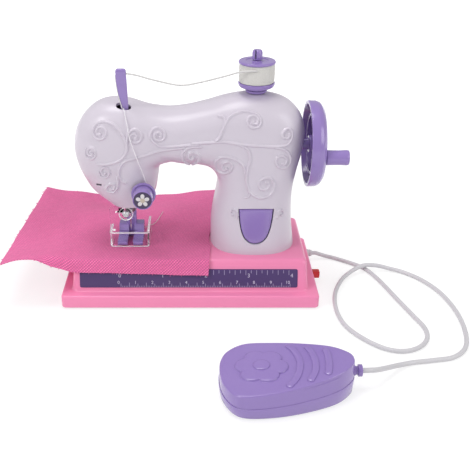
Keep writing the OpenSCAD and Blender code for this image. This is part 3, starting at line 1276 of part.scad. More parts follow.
module pedal_tread() color(purple) difference() {
    union() {
        skin([pedal_ring(pedal_wall + tread_edge, toe_h - pedal_wall, heel_h - pedal_wall),
            pedal_ring(pedal_wall, toe_h - pedal_wall - tread_edge, heel_h - pedal_wall - tread_edge),
                pedal_ring(pedal_wall, toe_rim, heel_rim),
            pedal_ring(0, toe_rim, heel_rim), pedal_ring(0, toe_h - tread_edge, heel_h - tread_edge),
            pedal_ring(tread_edge * edge_share, toe_h - tread_edge * edge_share,
                heel_h - tread_edge * edge_share),
            pedal_ring(tread_edge, toe_h, heel_h)]);
        box([hinge_x - ear_half, hinge_mid - lug_half, hinge_z - ear_half], [hinge_x + ear_half,
            hinge_mid + lug_half, heel_h - pedal_wall]);
    }
    to_back([hinge_x, hinge_mid - hinge_l, hinge_z]) cylinder(r = hinge_r + run_gap, h = 2 * hinge_l);
    along_x([pedal_x + pedal_l / 2 - 2 * pedal_wall, -pedal_gland_y, pedal_gland_z])
        cylinder(r = gland_r + 2 * move_gap, h = pedal_l / 2);
}
module pedal_pin() color(steel) to_back([hinge_x, hinge_mid - hinge_l / 2, hinge_z])
    cylinder(r = hinge_r, h = hinge_l);
switch_at = [32, -116];
switch_half = [5, 4];
switch_top = 8;
plunger_r = 1.6;
plunger_top = 11.2;
module pedal_switch() color(black) {
    box([switch_at[0] - switch_half[0], switch_at[1] - switch_half[1], foot_h + pedal_wall],
        [switch_at[0] + switch_half[0], switch_at[1] + switch_half[1], switch_top]);
    translate([switch_at[0], switch_at[1], switch_top]) cylinder(r = plunger_r,
        h = plunger_top - switch_top);
}
module pedal_gland() color(purple) along_x([pedal_x + pedal_l / 2 - gland_in, -pedal_gland_y,
    pedal_gland_z])
    cylinder(r = gland_r, h = pedal_gland_end - pedal_x - pedal_l / 2 + gland_in);
pedal_feet_share = [[-0.32, -0.28], [-0.32, 0.28], [0.3, 0]];
module pedal_feet() color(black) for (s = pedal_feet_share)
    translate([pedal_x + s[0] * pedal_l, -pedal_y + s[1] * pedal_w, 0]) cylinder(r = foot_r / 2,
        h = foot_h);

// Route of the cord from the base's bush to the pedal's
cord_start = base_w / 2 + gland_out + seat_gap;
cord_end = pedal_gland_end + seat_gap;
cord_route = [[cord_start, gland_y, gland_z], [cord_start + cord_r, gland_y, gland_z],
    [cord_start + cord_r * 2, gland_y, gland_z], [88, 24, 2.4], [95, 22, 1.4], [104, 15.6, 1.4],
    [110, 10.4, 1.4], [114, 4, 1.4], [118.4, -8, 1.4], [124, -29, 1.4], [129, -47, 1.4], [132.4, -60,
        1.4], [131.4, -70, 1.4],
    [126, -78, 1.4], [117, -82.6, 1.4], [107, -81, 1.4], [97, -72.4, 1.4], [88.6, -59, 1.4], [85.7, -43,
        1.4], [87.6, -24, 1.4],
    [94, -8, 2], [102, 1.4, 3.2], [110, 6, 4.8], [118.5, 7.4, 4.2], [127, 6.6, 2.4], [136, 3, 1.4], [145,
        -7, 1.4], [152, -22, 1.4],
    [155.4, -42, 1.4], [154.6, -62, 1.4], [150, -78.6, 1.4], [141, -88, 1.4], [129, -91, 1.4], [115,
        -93.4, 1.4], [104, -98.4, 3],
    [95.5, -105.6, 7.4], [cord_end + cord_r * 2, -pedal_gland_y, pedal_gland_z],
    [cord_end + cord_r, -pedal_gland_y, pedal_gland_z], [cord_end, -pedal_gland_y, pedal_gland_z]];
module cord() color(cord_grey) tube(open_curve(cord_route, 2), cord_r, 8);

echo(winding_least_gap = wind_gap);

base_shell();
base_plate();
battery_door();
base_screws();
batteries();
battery_contacts();
rubber_feet();
ruler_strip();
needle_plate();
switch_box();
power_switch();
cord_gland();
front_shell();
rear_shell();
body_screws();
gear_frame();
gear_cover();
motor();
motor_pinion();
idler_gear();
arm_frame();
main_shaft();
main_gear();
upper_pulley();
drive_belt();
lower_shaft();
looper();
lower_bearings();
feed_dog();
crank_disc();
hand_wheel();
crank_handle();
needle_yoke();
needle_bar();
needle_clamp();
needle();
take_up_lever();
presser_bar();
presser_foot();
presser_spring();
presser_lifter();
finger_guard();
guard_screw();
dial_seat();
tension_dial();
spool_pin();
spool();
thread_winding();
upper_thread();
head_thread();
drawer();
cloth();
cord();
pedal_base();
pedal_tread();
pedal_pin();
pedal_switch();
pedal_gland();
pedal_feet();
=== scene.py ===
# %% [markdown]
# # A toy sewing machine with a foot pedal
# The solids of the machine are already packed, with every joint in place. This lesson dresses them: moulded
# plastic with raised scrolls, a clear finger guard, wound thread, woven cloth and a long loose cord. We
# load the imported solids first, because every piece that we add has to ride on one of their bodies.

# %% Load the frame
import json
import math
import bpy
import bmesh
import numpy as np
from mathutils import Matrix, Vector
from mathutils.bvhtree import BVHTree


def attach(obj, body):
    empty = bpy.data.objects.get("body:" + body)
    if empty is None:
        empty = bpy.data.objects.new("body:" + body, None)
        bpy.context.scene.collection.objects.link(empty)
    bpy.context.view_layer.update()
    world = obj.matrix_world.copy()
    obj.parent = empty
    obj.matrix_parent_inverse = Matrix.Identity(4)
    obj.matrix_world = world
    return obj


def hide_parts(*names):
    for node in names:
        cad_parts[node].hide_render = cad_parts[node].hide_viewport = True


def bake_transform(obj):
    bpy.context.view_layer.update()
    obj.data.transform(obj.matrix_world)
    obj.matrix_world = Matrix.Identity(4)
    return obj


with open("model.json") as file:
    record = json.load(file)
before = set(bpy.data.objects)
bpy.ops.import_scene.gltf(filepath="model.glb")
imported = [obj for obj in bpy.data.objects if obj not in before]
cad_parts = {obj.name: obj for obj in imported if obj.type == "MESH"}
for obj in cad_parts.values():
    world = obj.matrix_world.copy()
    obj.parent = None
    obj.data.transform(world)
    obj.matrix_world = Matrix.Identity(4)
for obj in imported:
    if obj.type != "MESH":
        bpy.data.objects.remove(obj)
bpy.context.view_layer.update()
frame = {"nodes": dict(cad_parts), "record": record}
MM = 0.001

# %% [markdown]
# ## The camera
# The photograph is taken from a little above, straight at the front. Its lens and place were worked out
# from the ruler on the base, so the same camera also tells us where a spot of the photograph lies on the
# machine: we shoot a ray through that spot and see what it hits.

# %% Camera
FRAME_PX = 470
FOCAL_PX, CENTRE_U, CENTRE_V = 770.0, 197.0, 235.0
CAMERA_PITCH = math.radians(26.8)
CAMERA_AT = np.array((3.95, -424.7, 244.3))
VIEW_FORWARD = np.array((0, math.cos(CAMERA_PITCH), -math.sin(CAMERA_PITCH)))
VIEW_UP = np.array((0, math.sin(CAMERA_PITCH), math.cos(CAMERA_PITCH)))
VIEW_RIGHT = np.array((1.0, 0, 0))


def photo_ray(u, v):
    """The direction from the camera through a spot of the photograph."""
    d = VIEW_FORWARD * FOCAL_PX + VIEW_RIGHT * (u - CENTRE_U) + VIEW_UP * (CENTRE_V - v)
    return d / np.linalg.norm(d)


lens = bpy.data.cameras.new("photo_camera")
lens.sensor_width = 36.0
lens.lens = 36.0 * FOCAL_PX / FRAME_PX
lens.shift_x = (FRAME_PX / 2 - CENTRE_U) / FRAME_PX
lens.shift_y = (CENTRE_V - FRAME_PX / 2) / FRAME_PX
lens.clip_end = 20.0
camera = bpy.data.objects.new("photo_camera", lens)
bpy.context.collection.objects.link(camera)
camera.location = CAMERA_AT * MM
camera.rotation_euler = (math.pi / 2 - CAMERA_PITCH, 0, 0)
bpy.context.scene.camera = camera
print("lens", round(lens.lens, 2), "mm, shift", round(lens.shift_x, 3))

# %% [markdown]
# ## Helpers for shapes
# Almost every piece here is one of three things: rings joined into a skin, a profile turned on an axis, or
# a round section pushed along a path. Writing these once keeps the later cells short. Sizes are in
# millimetres, as on the drawing, and become metres only when a mesh is made.


# %% Curves and fillets
def smooth_path(points, steps, closed=False):
    """A Catmull-Rom curve through the points."""
    p = np.array(points, float)
    n = len(p)
    out = []
    for i in range(n if closed else n - 1):
        a, b, c, d = (p[(i + k) % n] if closed else p[min(max(i + k, 0), n - 1)] for k in (-1, 0, 1, 2))
        for s in np.arange(steps) / steps:
            out.append(b + s / 2 * (c - a + s * (2 * a - 5 * b + 4 * c - d + s * (3 * (b - c) + d - a))))
    if not closed:
        out.append(p[-1])
    return np.array(out)


def fillet(points, radius, steps=5, closed=False):
    """A polyline with its corners rounded; radius is one number or one for each point."""
    pts = [np.array(p, float) for p in points]
    n = len(pts)
    radii = list(radius) if np.ndim(radius) else [radius] * n
    out = []
    for i, p in enumerate(pts):
        if radii[i] <= 0 or (not closed and i in (0, n - 1)):
            out.append(p)
            continue
        a, b = pts[i - 1] - p, pts[(i + 1) % n] - p
        la, lb = np.linalg.norm(a), np.linalg.norm(b)
        half = math.acos(float(np.clip(a @ b / la / lb, -1, 1))) / 2
        reach = min(radii[i] / math.tan(half), 0.49 * la, 0.49 * lb)
        q0, q1 = p + a / la * reach, p + b / lb * reach
        for s in np.linspace(0, 1, steps + 1):
            out.append((1 - s) ** 2 * q0 + 2 * s * (1 - s) * p + s * s * q1)
    return np.array(out)


def resample(path, gap):
    """Points at even steps along a path."""
    path = np.array(path, float)
    run = np.concatenate(([0], np.cumsum(np.linalg.norm(np.diff(path, axis=0), axis=1))))
    at = np.linspace(0, run[-1], max(3, int(run[-1] / gap) + 1))
    return np.stack([np.interp(at, run, path[:, k]) for k in range(path.shape[1])], axis=1)


print("a filleted square has", len(fillet([(0, 0), (1, 0), (1, 1), (0, 1)], 0.2, closed=True)), "points")


# %% Skins, turned forms and tubes
def skin(rings, start_cap=True, end_cap=True, wrap=True):
    """Vertices and faces of a skin over rings of equal length."""
    m, n = len(rings[0]), len(rings)
    faces = [(i * m + j, i * m + (j + 1) % m, (i + 1) * m + (j + 1) % m, (i + 1) * m + j)
             for i in range(n - 1) for j in range(m if wrap else m - 1)]
    if start_cap:
        faces.append(tuple(range(m - 1, -1, -1)))
    if end_cap:
        faces.append(tuple((n - 1) * m + j for j in range(m)))
    return np.vstack(rings), faces


TURN_AXES = {"x": ((0, 1, 0), (0, 0, 1), (1, 0, 0)), "-y": ((1, 0, 0), (0, 0, 1), (0, -1, 0)),
             "y": ((1, 0, 0), (0, 0, -1), (0, 1, 0)), "z": ((1, 0, 0), (0, 1, 0), (0, 0, 1))}


def turned(profile, at, axis="z", steps=72):
    """A closed form turned from (radius, height) points, from its start on the axis to its end on the axis."""
    u, v, w = (np.array(a, float) for a in TURN_AXES[axis])
    angle = np.arange(steps) * 2 * math.pi / steps
    rings = [np.array(at) + max(r, 1e-5) * (np.outer(np.cos(angle), u) + np.outer(np.sin(angle), v)) + h * w
             for r, h in profile]
    return skin(rings)


def tube(path, radius, sides=12):
    """A round section pushed along a path; the section is carried along so that it never twists."""
    path = np.array(path, float)
    tangent = np.gradient(path, axis=0)
    tangent /= np.linalg.norm(tangent, axis=1)[:, None]
    side = np.cross(tangent[0], (0, 0, 1) if abs(tangent[0][2]) < 0.9 else (0, 1, 0))
    radii = np.broadcast_to(np.array(radius, float), len(path))
    angle = np.arange(sides) * 2 * math.pi / sides
    rings = []
    for p, t, r in zip(path, tangent, radii):
        side = side - t * (side @ t)
        side /= np.linalg.norm(side)
        rings.append(p + r * (np.outer(np.cos(angle), side) + np.outer(np.sin(angle), np.cross(t, side))))
    return skin(rings)


def joined(*parts):
    """Several (vertices, faces) pairs as one."""
    verts, faces, base = [], [], 0
    for v, f in parts:
        verts.append(np.array(v, float))
        faces += [tuple(i + base for i in q) for q in f]
        base += len(v)
    return np.vstack(verts), faces


def block(low, high, edge=0.4, segments=3):
    """A box with rounded edges."""
    bm = bmesh.new()
    bmesh.ops.create_cube(bm, size=1)
    low, high = np.array(low, float), np.array(high, float)
    for v in bm.verts:
        v.co = Vector(low + (np.array(v.co) + 0.5) * (high - low))
    if edge:
        bmesh.ops.bevel(bm, geom=bm.edges[:], offset=edge, segments=segments, profile=0.5, affect="EDGES")
    bm.verts.index_update()
    out = np.array([v.co for v in bm.verts]), [tuple(v.index for v in f.verts) for f in bm.faces]
    bm.free()
    return out


print("a turned disc has", len(turned([(0, 0), (1, 0), (1, 1), (0, 1)], (0, 0, 0))[0]), "vertices")

# %% [markdown]
# ## From numbers to a piece
# A piece is a mesh object that rides on a body. Where it stands for a imported solid, that solid is hidden.
# Holes are cut with a boolean, and the result is baked into the mesh at once so that the scene holds plain
# meshes only.


# %% Pieces and cuts
def build_mesh(name, shape, smooth_angle=38):
    verts, faces = shape
    mesh = bpy.data.meshes.new(name)
    mesh.from_pydata([tuple(v) for v in np.array(verts) * MM], [], faces)
    bm = bmesh.new()
    bm.from_mesh(mesh)
    bmesh.ops.remove_doubles(bm, verts=bm.verts[:], dist=2e-7)
    bmesh.ops.recalc_face_normals(bm, faces=bm.faces[:])
    bm.to_mesh(mesh)
    bm.free()
    soften(mesh, smooth_angle)
    return mesh


def soften(mesh, angle=38):
    mesh.polygons.foreach_set("use_smooth", [True] * len(mesh.polygons))
    mesh.set_sharp_from_angle(angle=math.radians(angle))


def piece(name, shape, material, body="machine", stands_for=(), smooth_angle=38):
    mesh = shape if isinstance(shape, bpy.types.Mesh) else build_mesh(name, shape, smooth_angle)
    obj = bpy.data.objects.new(name, mesh)
    bpy.context.collection.objects.link(obj)
    mesh.materials.append(material)
    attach(obj, body)
    if stands_for:
        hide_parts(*stands_for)
    return obj


def cut_mesh(mesh, *cutters, smooth_angle=38):
    """The mesh with each closed form cut out of it."""
    obj = bpy.data.objects.new("work", mesh)
    bpy.context.collection.objects.link(obj)
    tools = []
    for shape in cutters:
        tool = bpy.data.objects.new("cutter", build_mesh("cutter", shape))
        bpy.context.collection.objects.link(tool)
        mod = obj.modifiers.new("cut", "BOOLEAN")
        mod.operation, mod.solver, mod.object = "DIFFERENCE", "EXACT", tool
        tools.append(tool)
    deps = bpy.context.evaluated_depsgraph_get()
    out = bpy.data.meshes.new_from_object(obj.evaluated_get(deps))
    for o in tools + [obj]:
        old = o.data
        bpy.data.objects.remove(o)
        bpy.data.meshes.remove(old)
    soften(out, smooth_angle)
    return out


def lay_uv(mesh, uv_of_vertex):
    """Gives each vertex's own (u, v) to the corners of its faces."""
    layer = mesh.uv_layers.new(name="lay")
    index = np.empty(len(mesh.loops), int)
    mesh.loops.foreach_get("vertex_index", index)
    layer.data.foreach_set("uv", np.array(uv_of_vertex, float)[index].ravel())


# %% [markdown]
# ## Finishes
# Moulded plastic is never one flat colour. Its skin has a fine spark-eroded grain, the melt leaves faint
# cloudy differences in tone, and handling leaves small rubbed patches. That is one effect with different
# colours, so it is a node group with named sockets, placed in every plastic on the toy.


# %% Moulded plastic, a shared group
def new_group(name, inputs, outputs):
    group = bpy.data.node_groups.new(name, "ShaderNodeTree")
    for label, kind, value in inputs:
        socket = group.interface.new_socket(label, in_out="INPUT", socket_type=kind)
        if value is not None:
            socket.default_value = value
    for label, kind in outputs:
        group.interface.new_socket(label, in_out="OUTPUT", socket_type=kind)
    return group, group.nodes.new("NodeGroupInput"), group.nodes.new("NodeGroupOutput")


def node(tree, kind, settings=(), **inputs):
    n = tree.nodes.new(kind)
    for key, value in dict(settings).items():
        setattr(n, key, value)
    for key, value in inputs.items():
        socket = n.inputs[int(key[1:])] if key[0] == "i" and key[1:].isdigit() else n.inputs[key.replace("_",
                                                            " ")]
        if isinstance(value, bpy.types.NodeSocket):
            tree.links.new(value, socket)
        else:
            socket.default_value = value
    return n


COLOUR, NUMBER = "NodeSocketColor", "NodeSocketFloat"
moulded, g_in, g_out = new_group("moulded_skin", [
    ("Colour", COLOUR, (0.8, 0.8, 0.8, 1)), ("Clouding", NUMBER, 0.05), ("Grain Size", NUMBER, 900.0),
    ("Roughness", NUMBER, 0.35), ("Rubbed", NUMBER, 0.08)],
    [("Colour", COLOUR), ("Roughness", NUMBER), ("Height", NUMBER)])
place = node(moulded, "ShaderNodeTexCoord").outputs["Object"]
cloud = node(moulded, "ShaderNodeTexNoise", Vector=place, Scale=38.0, Detail=3.0, Roughness=0.55).outputs[0]
grain = node(moulded, "ShaderNodeTexNoise", Vector=place, Scale=g_in.outputs["Grain Size"],
             Detail=2.0).outputs[0]
scuff = node(moulded, "ShaderNodeTexNoise", Vector=place, Scale=160.0, Detail=6.0, Roughness=0.75,
             Distortion=0.6).outputs[0]
tone = node(moulded, "ShaderNodeMath", {"operation": "MULTIPLY_ADD"}, i0=cloud, i1=g_in.outputs["Clouding"],
            i2=1.0)
tone = node(moulded, "ShaderNodeMath", {"operation": "MULTIPLY_ADD"}, i0=g_in.outputs["Clouding"], i1=-0.5,
            i2=tone.outputs[0])
shade = node(moulded, "ShaderNodeVectorMath", {"operation": "SCALE"}, i0=g_in.outputs["Colour"],
             Scale=tone.outputs[0])
rub = node(moulded, "ShaderNodeMapRange", Value=scuff, From_Min=0.5, From_Max=0.72, To_Min=0.0, To_Max=1.0)
rough = node(moulded, "ShaderNodeMath", {"operation": "MULTIPLY_ADD"}, i0=rub.outputs[0],
             i1=g_in.outputs["Rubbed"],
             i2=g_in.outputs["Roughness"])
grit = node(moulded, "ShaderNodeMath", {"operation": "MULTIPLY_ADD"}, i0=cloud, i1=0.35, i2=grain)
moulded.links.new(shade.outputs[0], g_out.inputs["Colour"])
moulded.links.new(rough.outputs[0], g_out.inputs["Roughness"])
moulded.links.new(grit.outputs[0], g_out.inputs["Height"])


def srgb(r, g, b):
    """Screen colour, 0 to 255, as the linear colour that shaders use."""
    return tuple(c / 12.92 if c <= 0.04045 else ((c + 0.055) / 1.055) ** 2.4
                 for c in (r / 255, g / 255, b / 255)) + (1.0,)


def new_material(name, viewport):
    mat = bpy.data.materials.new(name)
    mat.use_nodes = True
    mat.diffuse_color = viewport
    return mat, mat.node_tree, mat.node_tree.nodes["Principled BSDF"]


def plastic(name, colour, roughness=0.34, clouding=0.06, rubbed=0.1, grain=900.0, bump=0.05, coat=0.0,
            depth=0.0):
    mat, tree, bsdf = new_material(name, colour)
    skin_node = node(tree, "ShaderNodeGroup", {"node_tree": moulded}, Colour=colour, Clouding=clouding,
                     Grain_Size=grain, Roughness=roughness, Rubbed=rubbed)
    lift = node(tree, "ShaderNodeBump", Strength=bump, Distance=0.0004, Height=skin_node.outputs["Height"])
    tree.links.new(skin_node.outputs["Colour"], bsdf.inputs["Base Color"])
    tree.links.new(skin_node.outputs["Roughness"], bsdf.inputs["Roughness"])
    tree.links.new(lift.outputs[0], bsdf.inputs["Normal"])
    bsdf.inputs["Coat Weight"].default_value = coat
    bsdf.inputs["Coat Roughness"].default_value = 0.12
    bsdf.inputs["IOR"].default_value = 1.5
    if depth:
        bsdf.inputs["Subsurface Weight"].default_value = depth
        bsdf.inputs["Subsurface Radius"].default_value = (1.0, 0.6, 0.7)
        bsdf.inputs["Subsurface Scale"].default_value = 0.002
    return mat


pink = plastic("pink_moulding", srgb(247, 142, 185), roughness=0.28, clouding=0.015, rubbed=0.03, bump=0.02,
               coat=0.12)
white = plastic("lilac_white_moulding", srgb(213, 205, 217), roughness=0.3, clouding=0.04, coat=0.1)
purple = plastic("purple_moulding", srgb(149, 125, 191), roughness=0.22, clouding=0.03, rubbed=0.03, coat=0.4)
dial_dark = plastic("dial_dark_print", srgb(70, 58, 88), roughness=0.4)
black = plastic("black_moulding", srgb(34, 33, 36), roughness=0.5)
red = plastic("red_moulding", srgb(206, 38, 44), roughness=0.3)
print("plastics share the group", moulded.name, "with", moulded.users, "users")

# %% [markdown]
# Steel, rubber, print, cord sheath and thread are the small finishes. Steel gets fine drawn lines from a
# stretched noise; the thread gets a twist that runs round it, laid out by coordinates that follow its length.
# The twist also paints the thread's colour darker in the grooves between its plies: painted shade.

# %% Steel, rubber, print and sheath
lines, g_in, g_out = new_group("drawn_lines",
                               [("Tone", COLOUR, (0.6, 0.6, 0.62, 1)), ("Roughness", NUMBER, 0.28)],
                               [("Colour", COLOUR), ("Roughness", NUMBER), ("Height", NUMBER)])
place = node(lines, "ShaderNodeTexCoord").outputs["Object"]
drawn = node(lines, "ShaderNodeMapping", Vector=place, Scale=(260.0, 5200.0, 900.0)).outputs[0]
streak = node(lines, "ShaderNodeTexNoise", Vector=drawn, Scale=1.0, Detail=4.0).outputs[0]
patch = node(lines, "ShaderNodeTexNoise", Vector=place, Scale=120.0, Detail=5.0, Roughness=0.7).outputs[0]
tone = node(lines, "ShaderNodeMapRange", Value=streak, From_Min=0.3, From_Max=0.7, To_Min=0.86, To_Max=1.06)
shade = node(lines, "ShaderNodeVectorMath", {"operation": "SCALE"}, i0=g_in.outputs["Tone"],
             Scale=tone.outputs[0])
rough = node(lines, "ShaderNodeMath", {"operation": "MULTIPLY_ADD"}, i0=patch, i1=0.16,
             i2=g_in.outputs["Roughness"])
lines.links.new(shade.outputs[0], g_out.inputs["Colour"])
lines.links.new(rough.outputs[0], g_out.inputs["Roughness"])
lines.links.new(streak, g_out.inputs["Height"])


def metal(name, tone, roughness):
    mat, tree, bsdf = new_material(name, tone)
    lay = node(tree, "ShaderNodeGroup", {"node_tree": lines}, Tone=tone, Roughness=roughness)
    lift = node(tree, "ShaderNodeBump", Strength=0.06, Distance=0.0002, Height=lay.outputs["Height"])
    tree.links.new(lay.outputs["Colour"], bsdf.inputs["Base Color"])
    tree.links.new(lay.outputs["Roughness"], bsdf.inputs["Roughness"])
    tree.links.new(lift.outputs[0], bsdf.inputs["Normal"])
    bsdf.inputs["Metallic"].default_value = 1.0
    return mat


steel = metal("drawn_steel", (0.62, 0.62, 0.64, 1), 0.2)
dark_steel = metal("dark_steel", (0.24, 0.24, 0.26, 1), 0.32)
rubber = plastic("dark_rubber", srgb(44, 43, 45), roughness=0.72, grain=1400.0, bump=0.12)
sheath = plastic("cord_sheath", srgb(208, 206, 210), roughness=0.42, clouding=0.05)
strip_print = plastic("ruler_print", srgb(76, 56, 108), roughness=0.42, clouding=0.12)
ink_white = plastic("white_ink", srgb(202, 193, 218), roughness=0.5, clouding=0.15)
ink_dim = plastic("thin_white_ink", srgb(166, 152, 188), roughness=0.5, clouding=0.2)
petal_white = plastic("petal_white", srgb(222, 218, 220), roughness=0.4, clouding=0.2)
petal_heart = plastic("petal_heart", srgb(196, 184, 168), roughness=0.4)
wrap = plastic("cell_wrap", srgb(60, 62, 70), roughness=0.3)
print("small finishes:", steel.name, rubber.name, sheath.name, strip_print.name)

# %% Clear plastic, thread and cloth
clear, tree, bsdf = new_material("clear_guard", (0.9, 0.92, 0.95, 0.3))
haze = node(tree, "ShaderNodeTexNoise", Vector=node(tree, "ShaderNodeTexCoord").outputs["Object"], Scale=140.0,
            Detail=5.0, Roughness=0.7)
film = node(tree, "ShaderNodeMapRange", Value=haze.outputs[0], From_Min=0.35, From_Max=0.75, To_Min=0.02,
            To_Max=0.14)
tree.links.new(film.outputs[0], bsdf.inputs["Roughness"])
bsdf.inputs["Base Color"].default_value = (0.97, 0.97, 0.985, 1)
bsdf.inputs["Transmission Weight"].default_value = 1.0
bsdf.inputs["IOR"].default_value = 1.14
# The guard's rims are a painted highlight: pale white, half see-through, with a faint glow of their own.
painted_rim_highlight = plastic("clear_rim_painted_highlight", srgb(252, 250, 252), roughness=0.2, clouding=0.03)
painted_rim_highlight.node_tree.nodes["Principled BSDF"].inputs["Alpha"].default_value = 0.36
painted_rim_highlight.node_tree.nodes["Principled BSDF"].inputs["Emission Color"].default_value = (1, 0.96, 0.98, 1)
painted_rim_highlight.node_tree.nodes["Principled BSDF"].inputs["Emission Strength"].default_value = 0.12

twist, g_in, g_out = new_group("spun_thread", [("Colour", COLOUR, (0.9, 0.9, 0.9, 1)), ("Turns", NUMBER, 900.0),
                                               ("Fuzz", NUMBER, 0.12)],
                               [("Colour", COLOUR), ("Height", NUMBER)])
uv = node(twist, "ShaderNodeTexCoord").outputs["UV"]
split = node(twist, "ShaderNodeSeparateXYZ", Vector=uv)
along = node(twist, "ShaderNodeMath", {"operation": "MULTIPLY"}, i0=split.outputs[0], i1=g_in.outputs["Turns"])
phase = node(twist, "ShaderNodeMath", {"operation": "MULTIPLY_ADD"}, i0=split.outputs[1], i1=12.566,
             i2=along.outputs[0])
ply = node(twist, "ShaderNodeMath", {"operation": "SINE"}, i0=phase.outputs[0])
lint = node(twist, "ShaderNodeTexNoise", Vector=node(twist, "ShaderNodeTexCoord").outputs["Object"],
            Scale=2600.0,
            Detail=3.0).outputs[0]
# The ply wave shades the colour too, darker in the grooves between the plies and a touch lighter on their
# crowns: painted shade and highlight.
body = node(twist, "ShaderNodeMath", {"operation": "MULTIPLY_ADD"}, i0=ply.outputs[0], i1=0.06, i2=0.95)
mixed = node(twist, "ShaderNodeMath", {"operation": "MULTIPLY_ADD"}, i0=lint, i1=g_in.outputs["Fuzz"],
             i2=body.outputs[0])
shade = node(twist, "ShaderNodeVectorMath", {"operation": "SCALE"}, i0=g_in.outputs["Colour"],
             Scale=mixed.outputs[0])
rise = node(twist, "ShaderNodeMath", {"operation": "MULTIPLY_ADD"}, i0=lint, i1=0.6, i2=ply.outputs[0])
twist.links.new(shade.outputs[0], g_out.inputs["Colour"])
twist.links.new(rise.outputs[0], g_out.inputs["Height"])


def spun(name, colour, turns, fuzz):
    mat, tree, bsdf = new_material(name, colour)
    lay = node(tree, "ShaderNodeGroup", {"node_tree": twist}, Colour=colour, Turns=turns, Fuzz=fuzz)
    lift = node(tree, "ShaderNodeBump", Strength=0.5, Distance=0.0001, Height=lay.outputs["Height"])
    tree.links.new(lay.outputs["Colour"], bsdf.inputs["Base Color"])
    tree.links.new(lift.outputs[0], bsdf.inputs["Normal"])
    bsdf.inputs["Roughness"].default_value = 0.62
    bsdf.inputs["Sheen Weight"].default_value = 0.25
    return mat


# One thread, three tones. The winding, the length over the lever and the tail keep the thread's own colour. The
# span to the lever gets a slightly greyer copy (painted shade), and the run down the cheek gets a near-white
# copy (painted light).
thread_white = spun("white_thread", srgb(223, 221, 217), 9000.0, 0.3)
thread_painted_shade = spun("white_thread_painted_shade", srgb(218, 216, 215), 9000.0, 0.12)
thread_painted_light = spun("white_thread_painted_light", srgb(250, 246, 252), 9000.0, 0.06)
thread_pink = spun("pink_yarn", srgb(222, 104, 160), 6000.0, 0.2)
print("thread group has", len(twist.nodes), "nodes")

# %% [markdown]
# The cloth is a plain weave with fine slanting lines, as the photograph shows. Two sine waves, one for each set
# of threads, take turns on top, and a third runs across both for the slant. The first two drive the height, and
# with it the colour: lighter where a thread crosses on top and darker where it dips under. That is a painted
# highlight and painted shade that follow the threads.

# %% Woven cloth
cloth_finish, tree, bsdf = new_material("pink_weave", srgb(224, 108, 166))
uv = node(tree, "ShaderNodeTexCoord").outputs["UV"]
wobble = node(tree, "ShaderNodeTexNoise", Vector=uv, Scale=60.0, Detail=2.0)
bent = node(tree, "ShaderNodeVectorMath", {"operation": "MULTIPLY_ADD"}, i0=wobble.outputs["Color"],
            i1=(0.0009, 0.0009, 0.0), i2=uv)
split = node(tree, "ShaderNodeSeparateXYZ", Vector=bent.outputs[0])
THREAD_PITCH, TWILL_PITCH = 0.00082, 0.0019
waves = []
for axis in (0, 1):
    turn = node(tree, "ShaderNodeMath", {"operation": "MULTIPLY"}, i0=split.outputs[axis],
                i1=math.pi / THREAD_PITCH)
    waves.append(node(tree, "ShaderNodeMath", {"operation": "SINE"}, i0=turn.outputs[0]).outputs[0])
over = node(tree, "ShaderNodeMath", {"operation": "MULTIPLY"}, i0=waves[0], i1=waves[1])
ridge = node(tree, "ShaderNodeMath", {"operation": "ABSOLUTE"}, i0=over.outputs[0])
weave_height = node(tree, "ShaderNodeMath", {"operation": "MULTIPLY_ADD"}, i0=over.outputs[0], i1=0.45,
                    i2=ridge.outputs[0])
slub = node(tree, "ShaderNodeTexNoise", Vector=uv, Scale=420.0, Detail=4.0, Roughness=0.7)
faded = node(tree, "ShaderNodeTexNoise", Vector=uv, Scale=14.0, Detail=3.0)
# Painted shade and highlight on the weave: dark pink where a thread dips under, light pink where it crosses on
# top.
weave_painted_shading = node(tree, "ShaderNodeMix", {"data_type": "RGBA"}, Factor=over.outputs[0])
weave_painted_shading.inputs[6].default_value, weave_painted_shading.inputs[7].default_value = srgb(231, 101, 160), srgb(252, 149, 198)
mix_b = node(tree, "ShaderNodeMix", {"data_type": "RGBA", "blend_type": "MULTIPLY"}, Factor=0.3)
tree.links.new(weave_painted_shading.outputs[2], mix_b.inputs[6])
tree.links.new(slub.outputs[0], mix_b.inputs[7])
slant = node(tree, "ShaderNodeMath", {"operation": "ADD"}, i0=split.outputs[0], i1=split.outputs[1])
slant = node(tree, "ShaderNodeMath", {"operation": "MULTIPLY"}, i0=slant.outputs[0],
             i1=2 * math.pi / TWILL_PITCH)
twill = node(tree, "ShaderNodeMath", {"operation": "SINE"}, i0=slant.outputs[0])
fade = node(tree, "ShaderNodeMapRange", Value=faded.outputs[0], From_Min=0.3, From_Max=0.7, To_Min=1.02,
            To_Max=1.2)
fade = node(tree, "ShaderNodeMath", {"operation": "MULTIPLY_ADD"}, i0=twill.outputs[0], i1=0.19,
            i2=fade.outputs[0])
faded_and_weave_shaded_colour = node(tree, "ShaderNodeVectorMath", {"operation": "SCALE"}, i0=mix_b.outputs[2],
                    Scale=fade.outputs[0])
tree.links.new(faded_and_weave_shaded_colour.outputs[0], bsdf.inputs["Base Color"])
lift = node(tree, "ShaderNodeBump", Strength=0.55, Distance=0.00025, Height=weave_height.outputs[0])
tree.links.new(lift.outputs[0], bsdf.inputs["Normal"])
bsdf.inputs["Roughness"].default_value = 0.85
bsdf.inputs["Sheen Weight"].default_value = 0.08
print("weave pitch", THREAD_PITCH * 1000, "mm")

# %% [markdown]
# ## The cord
# The cord comes first of the pieces, because it reaches furthest. It leaves the back of the base, runs
# under itself, turns a wide loop on the table, climbs over its own start in a low hump and ends in the
# pedal. The points are the ones that its solid follows, with a gentler rise into the pedal.

